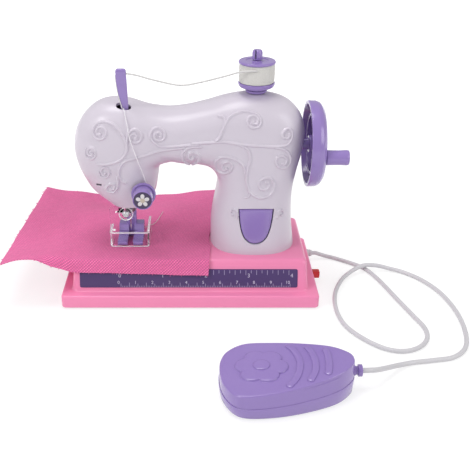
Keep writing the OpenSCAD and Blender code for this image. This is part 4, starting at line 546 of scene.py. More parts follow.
# %% Cord
CORD_R = 1.3
CORD_ROUTE = [
    (79.52, 23.7, 4.6), (80.82, 23.7, 4.6), (82.12, 23.7, 4.6), (88, 24, 2.4), (95, 22, 1.4), (104, 15.6, 1.4),
    (110, 10.4, 1.4), (114, 4, 1.4),
    (118.4, -8, 1.4), (124, -29, 1.4), (129, -47, 1.4), (132.4, -60, 1.4), (131.4, -70, 1.4), (126, -78, 1.4),
    (117, -82.6, 1.4), (107, -81, 1.4), (97, -72.4, 1.4), (88.6, -59, 1.4), (85.7, -43, 1.4), (87.6, -24, 1.4),
    (94, -8, 2), (102, 1.4, 3.2), (110, 6, 4.8), (118.5, 7.4, 4.2), (127, 6.6, 2.4), (136, 3, 1.4),
              (145, -7, 1.4),
    (152, -22, 1.4), (155.4, -42, 1.4), (154.6, -62, 1.4), (150, -78.6, 1.4), (141, -88, 1.4), (129, -91, 1.4),
    (118, -93, 1.5), (109, -97.4, 3), (100.5, -104.2, 6.2), (94.5, -109.4, 9.0), (90.2, -111.6, 10.4),
              (88, -112, 10.6),
    (86.52, -112, 10.6)]
cord_path = resample(smooth_path(CORD_ROUTE, 10), 1.2)
cord = piece("cord_run", tube(cord_path, CORD_R, 16), sheath, stands_for=("cord",))

# %% [markdown]
# ## The base
# The base is one pink moulding: a low plinth, a sloped deck with softly rounded edges, and a small hollow
# curve where they meet. Rings of a rounded rectangle, each a little further in or out, make it in one skin.
# It is built as a thick shell, so that the slots for the switch, the cord bush and the needle plate can be
# cut through it.

# %% Base moulding
DECK_TOP, PLINTH_TOP, FOOT = 26.7, 8.7, 0.8
DECK_FRONT, DECK_FRONT_TOP, DECK_BACK, DECK_HALF, DECK_DRAFT = 32.3, 26.4, 33.0, 70.0, 1.3


def plan(x0, x1, y0, y1, r, steps=10):
    out = []
    for cx, cy, quarter in ((x1 - r, y1 - r, 0), (x0 + r, y1 - r, 1), (x0 + r, y0 + r, 2), (x1 - r, y0 + r, 3)):
        for a in np.linspace(0, math.pi / 2, steps + 1) + quarter * math.pi / 2:
            out.append((cx + r * math.cos(a), cy + r * math.sin(a)))
    return np.array(out)


def raised(flat, z):
    return np.column_stack((flat, np.full(len(flat), z)))


def plinth_ring(inset, z):
    return raised(plan(-76 + inset, 76 - inset, -38.5 + inset, 38.5 - inset, max(2.8 - inset, 0.5)), z)


def deck_ring(inset, z):
    s = (z - PLINTH_TOP) / (DECK_TOP - PLINTH_TOP)
    half, front = DECK_HALF - DECK_DRAFT * s, DECK_FRONT + (DECK_FRONT_TOP - DECK_FRONT) * s
    return raised(plan(-half + inset, half - inset, -front + inset, DECK_BACK - inset, max(3.2 - inset, 0.5)),
                  z)


def quarter(radius, steps=6):
    """(inset, drop) pairs of a rounded edge, from the side up to the top."""
    return [(radius * (1 - math.cos(a)), radius * (1 - math.sin(a)))
            for a in np.linspace(0, math.pi / 2, steps + 1)]


rounding = np.linspace(0, math.pi / 2, 7)
base_rings = [deck_ring(2, 24.7), deck_ring(2, 6.7), plinth_ring(2, 6.7), plinth_ring(2, FOOT)]
base_rings += [plinth_ring(0.9 - 0.9 * math.sin(a), FOOT + 0.9 - 0.9 * math.cos(a)) for a in rounding]
base_rings += [plinth_ring(i, PLINTH_TOP - d) for i, d in quarter(1.3)]
base_rings += [deck_ring(1.1 * math.sin(a) - 1.1, PLINTH_TOP + 1.1 - 1.1 * math.cos(a)) for a in rounding]
base_rings += [deck_ring(i, DECK_TOP - d) for i, d in quarter(2.3, 8)]
base_mesh = cut_mesh(build_mesh("base_moulding", skin(base_rings)),
                     block((-54.5, -13, 20), (-18.5, 17, 30), 0), block((17.2, -5.4, 20), (22.8, 11.4, 30), 0),
                     block((73, -8, 3.2), (78, 1, 8.0), 0),
                     turned([(0, 0), (2.75, 0), (2.75, 6), (0, 6)], (73, 23.7, 4.6), "x"))
piece("base_moulding", base_mesh, pink, stands_for=("base_shell",))
print("base moulding:", len(base_mesh.polygons), "faces")

# %% [markdown]
# ## The ruler
# A dark strip with rounded corners is set into the slope. Its ticks and numbers are thin white plates, a
# hair above the strip. Numbers start as Blender text and are turned into mesh, so nothing depends on a font
# file.

# %% Ruler strip
SLOPE = math.atan2(DECK_TOP - PLINTH_TOP, DECK_FRONT - DECK_FRONT_TOP)
SLOPE_UP = np.array((0, math.cos(SLOPE), math.sin(SLOPE)))
SLOPE_OUT = np.array((0, -math.sin(SLOPE), math.cos(SLOPE)))
RULER_LOW, RULER_HIGH, RULER_LEFT, RULER_RIGHT = 2.37, 13.37, -65.3, 63.4


def on_slope(x, up, out=0.0):
    return np.array((x, -DECK_FRONT, PLINTH_TOP)) + SLOPE_UP * up + SLOPE_OUT * out


outline = plan(RULER_LEFT, RULER_RIGHT, RULER_LOW, RULER_HIGH, 1.0, 6)
middle = outline.mean(axis=0)
rings = [np.array([on_slope(x, y, h) for x, y in middle + (outline - middle) * s])
         for s, h in ((1, -0.2), (1, 0.28), (0.9985, 0.36), (0.996, 0.4))]
piece("ruler_strip_dressed", skin(rings), strip_print, stands_for=("ruler_strip",))

# %% [markdown]
# The marks follow real centimetres and inches, since the ruler is what gave the machine its size. Each tick
# is a tiny plate, laid on the slope by the same rule as the strip.

# %% Ticks and numbers
CM_ZERO, CM_STEP, INCH_ZERO, INCH_STEP = -42.0, 10.0, -43.4, 25.4
marks = []


def tick(x, low, high, width=0.32):
    marks.append(skin([np.array([on_slope(x + sx * width / 2, y, h) for sx,
                                 y in ((-1, low), (1, low), (1, high), (-1, high))])
                       for h in (0.38, 0.44)]))


for k in range(0, 101):
    length = 2.2 if k % 10 == 0 else 2.8 if k % 5 == 0 else 0.9
    tick(CM_ZERO + 1 + k, RULER_LOW + 0.15, RULER_LOW + 0.15 + length, 0.3)
for k in range(0, 33):
    length = 2.8 if k % 2 == 0 else 1.8
    tick(INCH_ZERO + k * INCH_STEP / 8, RULER_HIGH - 0.6 - length, RULER_HIGH - 0.6, 0.3)
piece("ruler_ticks", joined(*marks), ink_dim)
tick_count = len(marks)
marks = []


def number(text, x, up, size):
    curve = bpy.data.curves.new("number", "FONT")
    curve.body, curve.size, curve.align_x, curve.align_y = text, size, "CENTER", "CENTER"
    curve.extrude, curve.resolution_u = 0.03, 3
    obj = bpy.data.objects.new("number", curve)
    bpy.context.collection.objects.link(obj)
    mesh = bpy.data.meshes.new_from_object(obj.evaluated_get(bpy.context.evaluated_depsgraph_get()))
    flat = np.array([v.co for v in mesh.vertices])
    marks.append((np.array([on_slope(x + p[0], up + p[1], 0.41 + p[2]) for p in flat]),
                  [tuple(f.vertices) for f in mesh.polygons]))
    bpy.data.objects.remove(obj)
    bpy.data.curves.remove(curve)
    bpy.data.meshes.remove(mesh)


for k in range(11):
    number(str(k), CM_ZERO + k * CM_STEP - 0.4, RULER_LOW + 3.0, 2.7)
for k in range(5):
    number(str(k), INCH_ZERO + k * INCH_STEP + 1.7, RULER_LOW + 7.1, 3.3)
piece("ruler_numbers", joined(*marks), ink_white)
print("ruler ticks:", tick_count, "numbers:", len(marks))

# %% [markdown]
# ## The body
# The white body is one swollen tube: it starts at the nose, swings over the head, along the arm and down
# the column. Each section is a rounded oval between an outer and an inner point, and the table below holds
# those pairs as shares of the body's size, just as its solid does. We build two thick halves that meet in
# the middle plane, with a fine seam line between them, as the mould makes them.

# %% Body sections
SECTIONS = [
    (-0.353, 0.276, -0.19, 0.272, 0.5), (-0.43, 0.372, -0.155, 0.366, 0.63),
            (-0.467, 0.46, -0.143, 0.453, 0.72),
    (-0.494, 0.56, -0.136, 0.52, 0.78), (-0.504, 0.67, -0.126, 0.548, 0.82),
            (-0.489, 0.783, -0.107, 0.559, 0.83),
    (-0.45, 0.873, -0.088, 0.564, 0.83), (-0.395, 0.936, -0.07, 0.567, 0.82),
            (-0.334, 0.958, -0.052, 0.562, 0.81),
    (-0.27, 0.95, -0.038, 0.557, 0.8), (-0.19, 0.914, -0.022, 0.554, 0.79),
            (-0.104, 0.896, -0.006, 0.554, 0.79),
    (-0.02, 0.906, 0.013, 0.552, 0.79), (0.07, 0.936, 0.045, 0.546, 0.8), (0.155, 0.972, 0.08, 0.53, 0.82),
    (0.245, 0.994, 0.105, 0.496, 0.84), (0.33, 0.99, 0.118, 0.456, 0.86), (0.41, 0.955, 0.12, 0.415, 0.88),
    (0.467, 0.88, 0.116, 0.372, 0.9), (0.494, 0.775, 0.11, 0.325, 0.91), (0.489, 0.655, 0.103, 0.27, 0.92),
    (0.469, 0.52, 0.0965, 0.21, 0.94), (0.454, 0.375, 0.093, 0.15, 0.96), (0.455, 0.2, 0.0925, 0.08, 0.98),
    (0.472, 0, 0.0925, 0, 1)]
BODY_Y, BODY_W, BODY_H, BODY_HALF, WALL, ROUND = 3.0, 134.0, 93.0, 23.4, 1.8, 2.5
section_list = smooth_path(SECTIONS, 12)
HALF_ANGLES = np.concatenate(([0, 0.35, 1.1, 2.6], np.linspace(4.5, 175.5, 46), [177.4, 178.9, 179.65, 180]))


def section_ring(s, inset, side):
    out, inn = np.array((s[0] * BODY_W, 0, s[1] * BODY_H)), np.array((s[2] * BODY_W, 0, s[3] * BODY_H))
    across = (out - inn) / np.linalg.norm(out - inn)
    a = np.radians(HALF_ANGLES)
    c, d = np.sign(np.cos(a)) * np.abs(np.cos(a)) ** (2 / ROUND), np.abs(np.sin(a)) ** (2 / ROUND)
    reach, deep = np.linalg.norm(out - inn) / 2 - inset, s[4] * BODY_HALF - inset
    return (np.array((0, BODY_Y, DECK_TOP)) + (out + inn) / 2 + np.outer(reach * c, across)
            + np.outer(side * deep * d, (0, 1, 0)))


def half_shell(side):
    rings = []
    for s in section_list:
        outer = section_ring(s, 0, side)
        for j in (0, -1):
            outer[j] += (section_ring(s, 0.22, side)[j] - outer[j])
        rings.append(np.vstack((outer, section_ring(s, WALL, side)[::-1])))
    return skin(rings)


skins = {side: [section_ring(s, 0, side) for s in section_list] for side in (-1, 1)}
front_verts, front_faces = skin(skins[-1], False, False, wrap=False)
front_tree = BVHTree.FromPolygons([Vector(v) for v in front_verts], front_faces)
print("body sections:", len(section_list), "points round each half:", len(HALF_ANGLES))


# %% Landing a spot of the photograph on the body
def land(u, v):
    """Where a spot of the photograph meets the front of the body, and the way its skin faces there."""
    hit, normal, _, _ = front_tree.ray_cast(Vector(CAMERA_AT), Vector(photo_ray(u, v)))
    if hit is None:
        hit, normal, _, _ = front_tree.find_nearest(Vector(CAMERA_AT + photo_ray(u, v) * 465))
    n = np.array(normal)
    return np.array(hit), n if n[1] < 0 else -n


def body_front(x, z):
    """The front face of the body at a place across and up."""
    hit, _, _, _ = front_tree.ray_cast(Vector((x, -120, z)), Vector((0, 1, 0)))
    return hit[1] if hit is not None else BODY_Y


print("shield middle lies at", [round(c, 1) for c in land(257, 218)[0]])

# %% [markdown]
# ## Holes in the shells
# The take-up lever comes out of an oval hole in the head, the thread slot is a short cut in its cheek, and
# the drawer front sits in a rounded shield opening in the column. Behind, there are screw wells and the
# lifter's shaft hole.

# %% Cut shells
SHIELD = [(-0.5, 0.97), (-0.25, 0.993), (0, 1), (0.25, 0.993), (0.5, 0.97), (0.483, 0.75), (0.452, 0.54),
          (0.41, 0.37),
          (0.345, 0.21), (0.255, 0.1), (0.135, 0.025), (0, 0), (-0.135, 0.025), (-0.255, 0.1), (-0.345, 0.21),
          (-0.41, 0.37),
          (-0.452, 0.54), (-0.483, 0.75)]
DRAWER_X, DRAWER_W, DRAWER_TIP, DRAWER_TOP = 38.4, 19.8, 33.9, 56.0


def shield_outline(grow, steps=6):
    pts = [(DRAWER_X + sx * (DRAWER_W + 2 * grow),
            DRAWER_TIP - grow + sz * (DRAWER_TOP - DRAWER_TIP + 2 * grow))
           for sx, sz in SHIELD]
    side = smooth_path(pts[4:] + pts[:1], steps)
    top = smooth_path(pts[:5], steps)
    return np.vstack((top, side[1:-1]))


def through_front(flat, y0, y1):
    return skin([np.array([(x, y, z) for x, z in flat]) for y in (y0, y1)])


def oval(cx, cy, w, d, z0, z1, steps=40):
    a = np.arange(steps) * 2 * math.pi / steps
    c, s = np.cos(a), np.sin(a)
    flat = np.column_stack((cx + w / 2 * np.sign(c) * np.abs(c) ** 0.85,
                            cy + d / 2 * np.sign(s) * np.abs(s) ** 0.85))
    return skin([raised(flat, z0), raised(flat, z1)])


shaft_hole = turned([(0, 0), (4, 0), (4, 14), (0, 14)], (58, 3, 88.4), "x", 48)
pin_hole = turned([(0, 0), (3.42, 0), (3.42, 10), (0, 10)], (37.6, 3, 113), "z", 48)
front_mesh = cut_mesh(build_mesh("front_shell", half_shell(-1)), shaft_hole, pin_hole,
                      oval(-37.3, -6.25, 8.5, 6.0, 104, 125), through_front(shield_outline(0.5), -25, -12),
                      block((-54.7, -26, 67.85), (-51.3, -4, 69.15), 0.2, 2),
                      turned([(0, 0), (3.05, 0), (3.05, 14), (0, 14)], (-27.09, -6, 63.9), "-y", 40))
SCREW_WELLS = [(-40.2, 20.62, 98), (0, 20.15, 98), (29.48, 20.39, 98)]
wells = [turned([(0, -4), (1.6, -4), (1.6, 0.9), (2.7, 0.9), (2.7, 8), (0, 8)], at, "y", 32)
         for at in SCREW_WELLS]
rear_mesh = cut_mesh(build_mesh("rear_shell", half_shell(1)), shaft_hole, pin_hole, *wells,
                     turned([(0, 0), (1.9, 0), (1.9, 14), (0, 14)], (-42, 14, 79.5), "y", 32))
piece("front_shell_dressed", front_mesh, white, stands_for=("front_shell",))
piece("rear_shell_dressed", rear_mesh, white, stands_for=("rear_shell",))
print("front shell", len(front_mesh.polygons), "faces, rear shell", len(rear_mesh.polygons))

# %% [markdown]
# ## Raised scrolls
# Curling vines are moulded on the cheek, the arm and the column. Each is a low round ridge that melts into
# the skin at both sides. We list the strokes by their spots in the photograph, land them on the body, and
# push a bell-shaped section along them. Such scrolls are common ornament. The unseen back gets the same
# vines, mirrored, without the two curls beside the drawer.

# %% Scroll strokes
VINES = [
    [(95.5, 163.2), (100.2, 164.6), (109.6, 163.9), (119, 160.5), (124.3, 155.8), (127, 149.1), (125.6, 141.1),
     (120.3, 131.7), (113.6, 125), (105.6, 121.7), (98.2, 123), (93.8, 127.7), (93.2, 133.7), (96.2, 138.4),
     (100.9, 139.5), (105.3, 136.4), (106, 131), (102.2, 127), (98.2, 128), (96.4, 131.5), (98.2, 134.7),
     (101.3, 133.3)],
    [(86.5, 147.5), (85.4, 153), (87.5, 157.9), (92.2, 158.8), (95.5, 155.2), (94.6, 149.8), (90.5, 147.8),
     (87.7, 150.8),
     (88.8, 154.5), (91.9, 155.2), (92.4, 152.2)],
    [(126.2, 147), (127.2, 139), (129.3, 132.6), (135, 129.4), (140.4, 132.4), (141.5, 138.4), (137.7, 142.4),
     (133, 142.4), (129.9, 139.1), (131, 135), (135, 134.4), (136.6, 137.4), (134, 139.4)],
    [(200, 144.5), (187.3, 145.4), (175.2, 146.5), (165.8, 146.7), (157.8, 145.1), (152.4, 141.1), (150, 135.7),
     (152.4, 129.7), (158.5, 127.7), (163.8, 131), (164.8, 136.4), (161.2, 140.4), (156.5, 140), (154.2, 136.4),
     (156.2, 132.8), (160.2, 133), (160.8, 136.4), (158, 137.3)],
    [(186, 147.8), (172.5, 149.1), (159.1, 151.2), (145.7, 155.2), (135, 158.5), (125.6, 161.2), (120.3, 166.6),
     (118.9, 174.6), (121.6, 180.6), (127, 183.3)],
    [(98.9, 171.2), (100.9, 176.6), (106.2, 177.3), (109.8, 172.6), (107.6, 167.9), (102.9, 167.9),
     (101.3, 171.6),
     (103.5, 174.6), (106, 172.6)],
    [(117.6, 176), (118.2, 183), (117, 188), (113.6, 192), (108.2, 191.3), (106.2, 188), (109.6, 184),
     (114.3, 184.7),
     (114.4, 188), (111.6, 189.6), (110.4, 187.4)],
    [(190, 143.7), (200.7, 143.3), (214.1, 142.4), (223.5, 142.1), (234.2, 143.5), (246.2, 145.1),
     (259.6, 146.2),
     (273, 146.7), (282.4, 146.2), (289.1, 143.1), (291.8, 137), (291.1, 130.4), (287.1, 129), (283.1, 132.4),
     (283.1, 137), (287.1, 138.4), (289.6, 135.6), (288.2, 133)],
    [(214.1, 142.4), (219.5, 137.7), (222.1, 131.7), (224.8, 125), (228.8, 118.3), (235.5, 113.6),
     (243.6, 111.3),
     (251.6, 112.3), (258.3, 115.6), (261, 121.6), (258.3, 127), (252.3, 127.7), (247.6, 123.7), (248.9, 117.6),
     (254.3, 115.6), (258, 119), (257, 123.7), (253.2, 123.4), (252.7, 120.3)],
    [(223.5, 128.3), (225.5, 121.6), (223.5, 117), (217.5, 115.9)],
    [(273, 147.1), (282.4, 149.1), (288.4, 153.1), (290.4, 159.8), (287.1, 166.5), (281.1, 167.9),
     (276.4, 163.8),
     (277, 157.8), (282.4, 155.8), (286.4, 159.2), (285.1, 163.8), (281.3, 163.2)],
    [(234.2, 143.7), (243.6, 146.4), (248.9, 151.8), (250.3, 159.8), (247.6, 170.5), (246.5, 181.2),
     (248.9, 190.6),
     (254.3, 196), (262.3, 198), (270.3, 194.6), (274.4, 186.6), (271.7, 179.2), (265, 177.9), (259.6, 181.9),
     (259.6, 187.3), (264.3, 190), (269, 186.6), (267.7, 182.6), (264.3, 183.3)],
    [(242.9, 198), (247.6, 197.3), (250.3, 193.3)],
    [(246.2, 174.5), (243.6, 166.5), (236.9, 160.5), (227.5, 157.1), (219.5, 157.8), (215.4, 162.5),
     (216.8, 169.2),
     (223.5, 173.2), (230.2, 171.2), (232.6, 165.8), (228.8, 161.8), (223.5, 163.2), (222.1, 167.2),
     (225.1, 169.9),
     (227.5, 167.2)],
    [(203, 147.5), (192, 147.1), (184.6, 150.5), (181.9, 155.8), (184.6, 161.9), (192, 163.9), (198, 161.2),
     (199, 155.8),
     (194, 152.5), (189.3, 153.8), (188.6, 157.9), (192, 159.2), (194, 156.5)],
    [(236.6, 219.4), (237.2, 215.4), (236.2, 211.4), (233.4, 209.6), (231.2, 211.6), (231.8, 214.8),
     (234.2, 215.2)],
    [(277.4, 219.4), (276.8, 215.4), (277.8, 211.4), (280.6, 209.6), (282.8, 211.6), (282.2, 214.8),
     (279.8, 215.2)]]


VINE_STEP, BUD_R = 0.27, 1.3


def vine(stroke, half_width, height):
    flat = resample(smooth_path(stroke, 6), 0.45)
    landed = [land(u, v) for u, v in flat]
    at, out = np.array([p for p, _ in landed]), np.array([n for _, n in landed])
    tangent = np.gradient(at, axis=0)
    tangent /= np.linalg.norm(tangent, axis=1)[:, None] + 1e-9
    rings = []
    for k, (p, n, t) in enumerate(zip(at, out, tangent)):
        across = np.cross(n, t)
        to_tip = (len(at) - 1 - k) * VINE_STEP
        bud = 1.35 * math.sqrt(max(0.002, 1 - (1 - to_tip / BUD_R) ** 2))
        swell = bud if to_tip < BUD_R else max(1.0, bud)
        swell *= math.sqrt(min(1.0, k * VINE_STEP / BUD_R + 0.04))
        lift = height * min(1.0, swell)
        top = [p + across * half_width * swell * s + n * (lift * math.cos(math.pi * s / 2) ** 1.3 - 0.04)
               for s in np.linspace(-1, 1, 9)]
        under = [p + across * half_width * swell * s - n * 0.5 for s in (0.8, -0.8)]
        rings.append(np.array(top + under))
    return skin(rings)


long_stroke = [np.ptp(np.array(s), axis=0).max() > 11 for s in VINES]
vines = [vine(s, 1.08 if long else 0.66, 1.0 if long else 0.95) for s, long in zip(VINES, long_stroke)]
vine_shape = joined(*vines)
piece("front_vines", vine_shape, white, smooth_angle=60)
back_shape = joined(*vines[:-2])
back_verts = back_shape[0].copy()
back_verts[:, 1] = 2 * BODY_Y - back_verts[:, 1]
piece("rear_vines", (back_verts, [tuple(f)[::-1] for f in back_shape[1]]), white,
      smooth_angle=60)
print("vines:", len(VINES), "strokes,", len(vine_shape[0]), "vertices")

# %% [markdown]
# ## Hand wheel and crank
# The wheel is a dish, open towards the body, with a ring rib inside and a soft bevel round its outer face.
# A turned profile gives all of that at once. The crank handle is a separate turned grip that spins on its
# own pin, and a short sleeve covers the shaft beside the body.

# %% Hand wheel
WHEEL_X = 68.2
GRIP_AT = (3 - 17 * math.cos(math.radians(8)), 88.4 - 17 * math.sin(math.radians(8)))
wheel_profile = fillet([(0, 1.1), (5, 1.1), (5.2, 6.4), (16.2, 6.4), (16.3, 2.2), (17.9, 2.2), (18.0, 6.5),
                        (21.9, 6.2), (23.2, 0),
                        (25.2, 0), (25.1, 4.6), (24.2, 6.9), (21.6, 8.8), (19.6, 8.8), (19.2, 8.5), (7, 8.5),
                        (6.6, 8.8), (0, 8.8)],
                       [0, 0.5, 0.7, 0.5, 0.4, 0.4, 0.5, 0.8, 0.5, 0.6, 1.6, 2.2, 1.2, 0.4, 0.3, 0.3, 0.4, 0],
                       4)
grip_pin = turned([(0, 0), (2, 0), (2, 10.6), (1.8, 10.8), (0, 10.8)], (77, *GRIP_AT), "x", 40)
piece("hand_wheel_dressed", joined(turned(wheel_profile, (WHEEL_X, 3, 88.4), "x", 128), grip_pin), purple,
      "wheel",
      ("hand_wheel",))
grip_profile = fillet([(0, 0.02), (4.0, 0.02), (4.35, 0.4), (4.2, 6.5), (4.4, 12), (4.1, 13), (2.6, 13),
                       (2.3, 12.7), (0, 12.7)],
                      [0, 0.2, 0.3, 3, 0.5, 0.5, 0.2, 0.2, 0], 4)
grip_mesh = cut_mesh(build_mesh("grip", turned(grip_profile, (77.3, *GRIP_AT), "x", 72)),
                     turned([(0, 0), (2.06, 0), (2.06, 11.8), (0, 11.8)], (76.5, *GRIP_AT), "x", 40))
piece("crank_grip", grip_mesh, purple, "handle", ("crank_handle",))
collar = turned(fillet([(0, 62), (3.5, 62), (3.5, 69), (4.4, 69.6), (0, 69.6)], [0, 0.2, 0.6, 0.1, 0], 4),
                (0, 3, 88.4), "x", 56)
piece("wheel_collar", collar, purple, "wheel", ())
print("wheel profile points:", len(wheel_profile))

# %% [markdown]
# ## Spool, pin and wound thread
# The spool has a flat top flange and a dished bottom one. The thread is one unbroken helix that goes up the
# barrel and carries its own twist; a slow ripple in its radius keeps the winding from looking machined.

# %% Spool
SPOOL_AT = (37.6, 3, 0)
spool_profile = fillet([(2.06, 121.4), (6.4, 121.4), (10.0, 123.2), (10.5, 124.6), (10.3, 125.5), (9.2, 125.5),
                        (4, 125.5), (4, 136.1),
                        (9.2, 136.1), (10.4, 136.2), (10.5, 136.9), (10.1, 137.5), (6.4, 137.6), (6.2, 137.3),
                        (3.4, 137.3),
                        (3.2, 137.6), (2.06, 137.6)],
                       [0, 1.2, 1.2, 0.4, 0.3, 0, 0.2, 0.2, 0, 0.3, 0.4, 0.4, 0.2, 0.2, 0.2, 0.2, 0], 4)
rings = turned(spool_profile, SPOOL_AT)[0].reshape(-1, 72, 3)
piece("spool_dressed", skin(list(rings) + [rings[0]], False, False), purple, "reel", ("spool",))
WIND_TURNS, WIND_LOW, WIND_HIGH, THREAD_R = 34, 125.75, 135.85, 0.17
steps = WIND_TURNS * 72
k = np.arange(steps + 1)
angle = k * 2 * math.pi / 72
height = WIND_LOW + (WIND_HIGH - WIND_LOW) * k / steps
bulge = (9.72 + 0.22 * np.sin(math.pi * k / steps) ** 0.5 + 0.05 * np.sin(angle * 0.37)
         + 0.04 * np.sin(angle * 1.13 + 2))
helix = np.column_stack((37.6 + bulge * np.cos(angle), 3 + bulge * np.sin(angle), height))
wound = tube(helix, THREAD_R, 8)
core = turned(fillet([(0, 125.55), (9.5, 125.55), (9.72, 130.8), (9.5, 136.05), (0, 136.05)],
                     [0, 0.1, 8, 0.1, 0], 5), SPOOL_AT, "z", 96)
wound_mesh = build_mesh("thread_wound", joined(wound, core), 60)
uv = np.zeros((len(wound_mesh.vertices), 2))
for index in range(len(wound_mesh.vertices)):
    ring, side = divmod(index, 8)
    uv[index] = (ring * 2 * math.pi * 9.9 / 72 * MM, side / 8) if ring <= steps else (index * 1e-4, 0.3)
lay_uv(wound_mesh, uv)
piece("thread_wound", wound_mesh, thread_white, "reel", ("thread_winding",))
print("winding:", WIND_TURNS, "turns,", round(steps * 2 * math.pi * 9.9 / 72 / 1000, 2), "m of thread")

# %% Spool pin
pin_profile = fillet([(0, 114.6), (3.4, 114.6), (3.4, 119.7), (5.4, 119.5), (6.1, 120.2), (6.2, 121.1),
                      (2, 121.1), (2, 138),
                      (2.95, 138.3), (2.95, 141.8), (2.4, 143.5), (0, 143.5)],
                     [0, 0.2, 0.2, 0.2, 0.3, 0.3, 0.2, 0.3, 0.3, 0.9, 0.9, 0], 4)
pin_mesh = cut_mesh(build_mesh("spool_pin", turned(pin_profile, SPOOL_AT, "z", 56)),
                    block((36.1, -2, 138.7), (36.9, 3, 144), 0.1, 2))
piece("spool_pin_dressed", pin_mesh, purple, "machine", ("spool_pin",))
print("pin height", round(max(v.co.z for v in pin_mesh.vertices) / MM, 1))

# %% [markdown]
# ## Take-up lever and threads
# The lever is a flat bar with a wider rounded head and an eye. From the spool a single thread sags towards it,
# and goes on down the cheek to the tension dial. The length over the lever rides with it; the span from the
# spool rides on no body.

# %% Lever
LEVER_Z0, LEVER_Z1 = 92.4, 135.3


def ease(s):
    s = min(1.0, max(0.0, s))
    return s * s * (3 - 2 * s)


lever_rings = []
for s in np.concatenate((np.linspace(0, 0.95, 30), np.linspace(0.955, 1, 9))):
    width = 4.2 + 1.8 * ease((s - 0.4) * 2)
    mid = -36.5 - 1.6 * ease((s - 0.35) * 1.6)
    tip = 1 - ((s - 0.955) / 0.045) ** 2 if s > 0.955 else 1.0
    w, d = width / 2 - (1 - math.sqrt(max(tip, 0.0))) * 1.2, 1.25 - (1 - math.sqrt(max(tip, 0.0))) * 0.9
    a = np.arange(28) * 2 * math.pi / 28
    lever_rings.append(np.column_stack((mid + w * np.sign(np.cos(a)) * np.abs(np.cos(a)) ** 0.45,
                                        -6.25 + d * np.sign(np.sin(a)) * np.abs(np.sin(a)) ** 0.45,
                                        np.full(28, LEVER_Z0 + s * (LEVER_Z1 - LEVER_Z0)))))
lever_mesh = cut_mesh(build_mesh("lever", skin(lever_rings), 50),
                      turned([(0, 0), (0.9, 0), (0.9, 10), (0, 10)], (-43, -6.25, 132.5), "x", 28))
piece("take_up_lever_dressed", lever_mesh, purple, "needle_set", ("take_up_lever",))
print("lever faces", len(lever_mesh.polygons))


# %% [markdown]
# Threads are thin tubes along smooth paths, made as meshes. A curve object with a bevel would do as well.

# %% Threads
def thread(name, route, body="machine", stands_for=(), radius=0.24, material=thread_white):
    path = resample(smooth_path(route, 10), 0.6)
    mesh = build_mesh(name, tube(path, radius, 8), 80)
    uv = [(i // 8 * 0.6 * MM, i % 8 / 8) for i in range(len(mesh.vertices))]
    lay_uv(mesh, uv)
    obj = bpy.data.objects.new(name, mesh)
    bpy.context.collection.objects.link(obj)
    mesh.materials.append(material)
    if body:
        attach(obj, body)
    if stands_for:
        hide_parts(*stands_for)
    return obj


# This span has the greyer copy of the thread's colour: painted shade.
upper = thread("thread_to_lever", [(37, -7.5, 134.2), (28, -7.3, 133.6), (18, -7, 130.8), (7, -6.8, 128.0),
                                   (-2, -6.7, 126.2),
                                   (-9, -6.8, 126.5), (-22, -6.9, 129.6), (-29, -6.5, 131.5),
                                   (-35, -6.25, 132.5),
                                   (-37.6, -6.25, 132.5)], None, ("upper_thread",), 0.52, thread_painted_shade)
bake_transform(upper)
thread("thread_on_lever", [(-37.6, -6.25, 132.5), (-40.3, -6.25, 132.5), (-41.1, -6.2, 131.2),
                           (-40.9, -6.2, 127),
                           (-40.3, -6.7, 122.5), (-39.3, -7.5, 118), (-38.2, -7.8, 114), (-37.2, -7.8, 110)],
       "needle_set", (), 0.26)
cheek = [land(u, v) for u, v in [(123.5, 110), (126.6, 123), (129.4, 137), (132.6, 146.8), (136.6, 157.6),
                                 (140.4, 167.6), (144, 178), (145.6, 183.4)]]
# The run down the cheek has the near-white copy of the thread's colour: painted light.
head_line = thread("thread_on_cheek", [p + n * 1.2 for p, n in cheek], "machine", ("head_thread",), 0.28,
                   thread_painted_light)
print("threads laid:", upper.name, head_line.name)

# %% [markdown]
# ## Tension dial
# A wide seat ring, a knob that stands out from it, a dark face in a raised rim, and a plain five-petal
# flower on the face. All but the flower are turned.

# %% Dial
DIAL, FACE = (-27.09, 0, 63.9), 24.0
seat = turned(fillet([(0, 7.4), (3, 7.4), (3, 14.6), (7.0, 14.6), (7.2, 15.2), (7.0, 16.2), (5.9, 16.2),
                      (5.7, 15.9), (1.5, 15.9), (1.5, 21), (0, 21)],
                     [0, 0.1, 0.1, 0.3, 0.3, 0.4, 0.2, 0.1, 0.1, 0.2, 0], 4), DIAL, "-y", 96)
piece("dial_seat_dressed", seat, purple, "machine", ("dial_seat",))
knob = turned(fillet([(1.56, 16.5), (5.9, 16.5), (5.8, 23.7), (5.55, 24.4), (5.3, 24.4), (5.2, FACE),
                      (0, FACE)],
                     [0, 0.2, 0.5, 0.3, 0.15, 0.05, 0], 4), DIAL, "-y", 96)
piece("tension_knob", knob, purple, "dial", ("tension_dial",))
piece("dial_face", turned(fillet([(0, FACE - 0.2), (5.15, FACE - 0.2), (5.15, FACE + 0.12), (0, FACE + 0.16)],
                                 [0, 0, 0.15, 0], 3), DIAL, "-y", 72),
      dial_dark, "dial", ())
petals = []
for k in range(5):
    a = math.radians(90 + 72 * k)
    centre = np.array((DIAL[0] + 2.5 * math.cos(a), 0, DIAL[2] + 2.5 * math.sin(a)))
    rings = []
    for s, h in ((1.0, FACE + 0.1), (1.0, FACE + 0.28), (0.85, FACE + 0.4), (0.45, FACE + 0.47)):
        t = np.arange(28) * 2 * math.pi / 28
        r = s * (1.32 + 0.16 * np.cos(2 * t))
        rings.append(np.column_stack((centre[0] + r * np.cos(t + a), np.full(28, -h),
                                      centre[2] + r * np.sin(t + a))))
    petals.append(skin(rings))
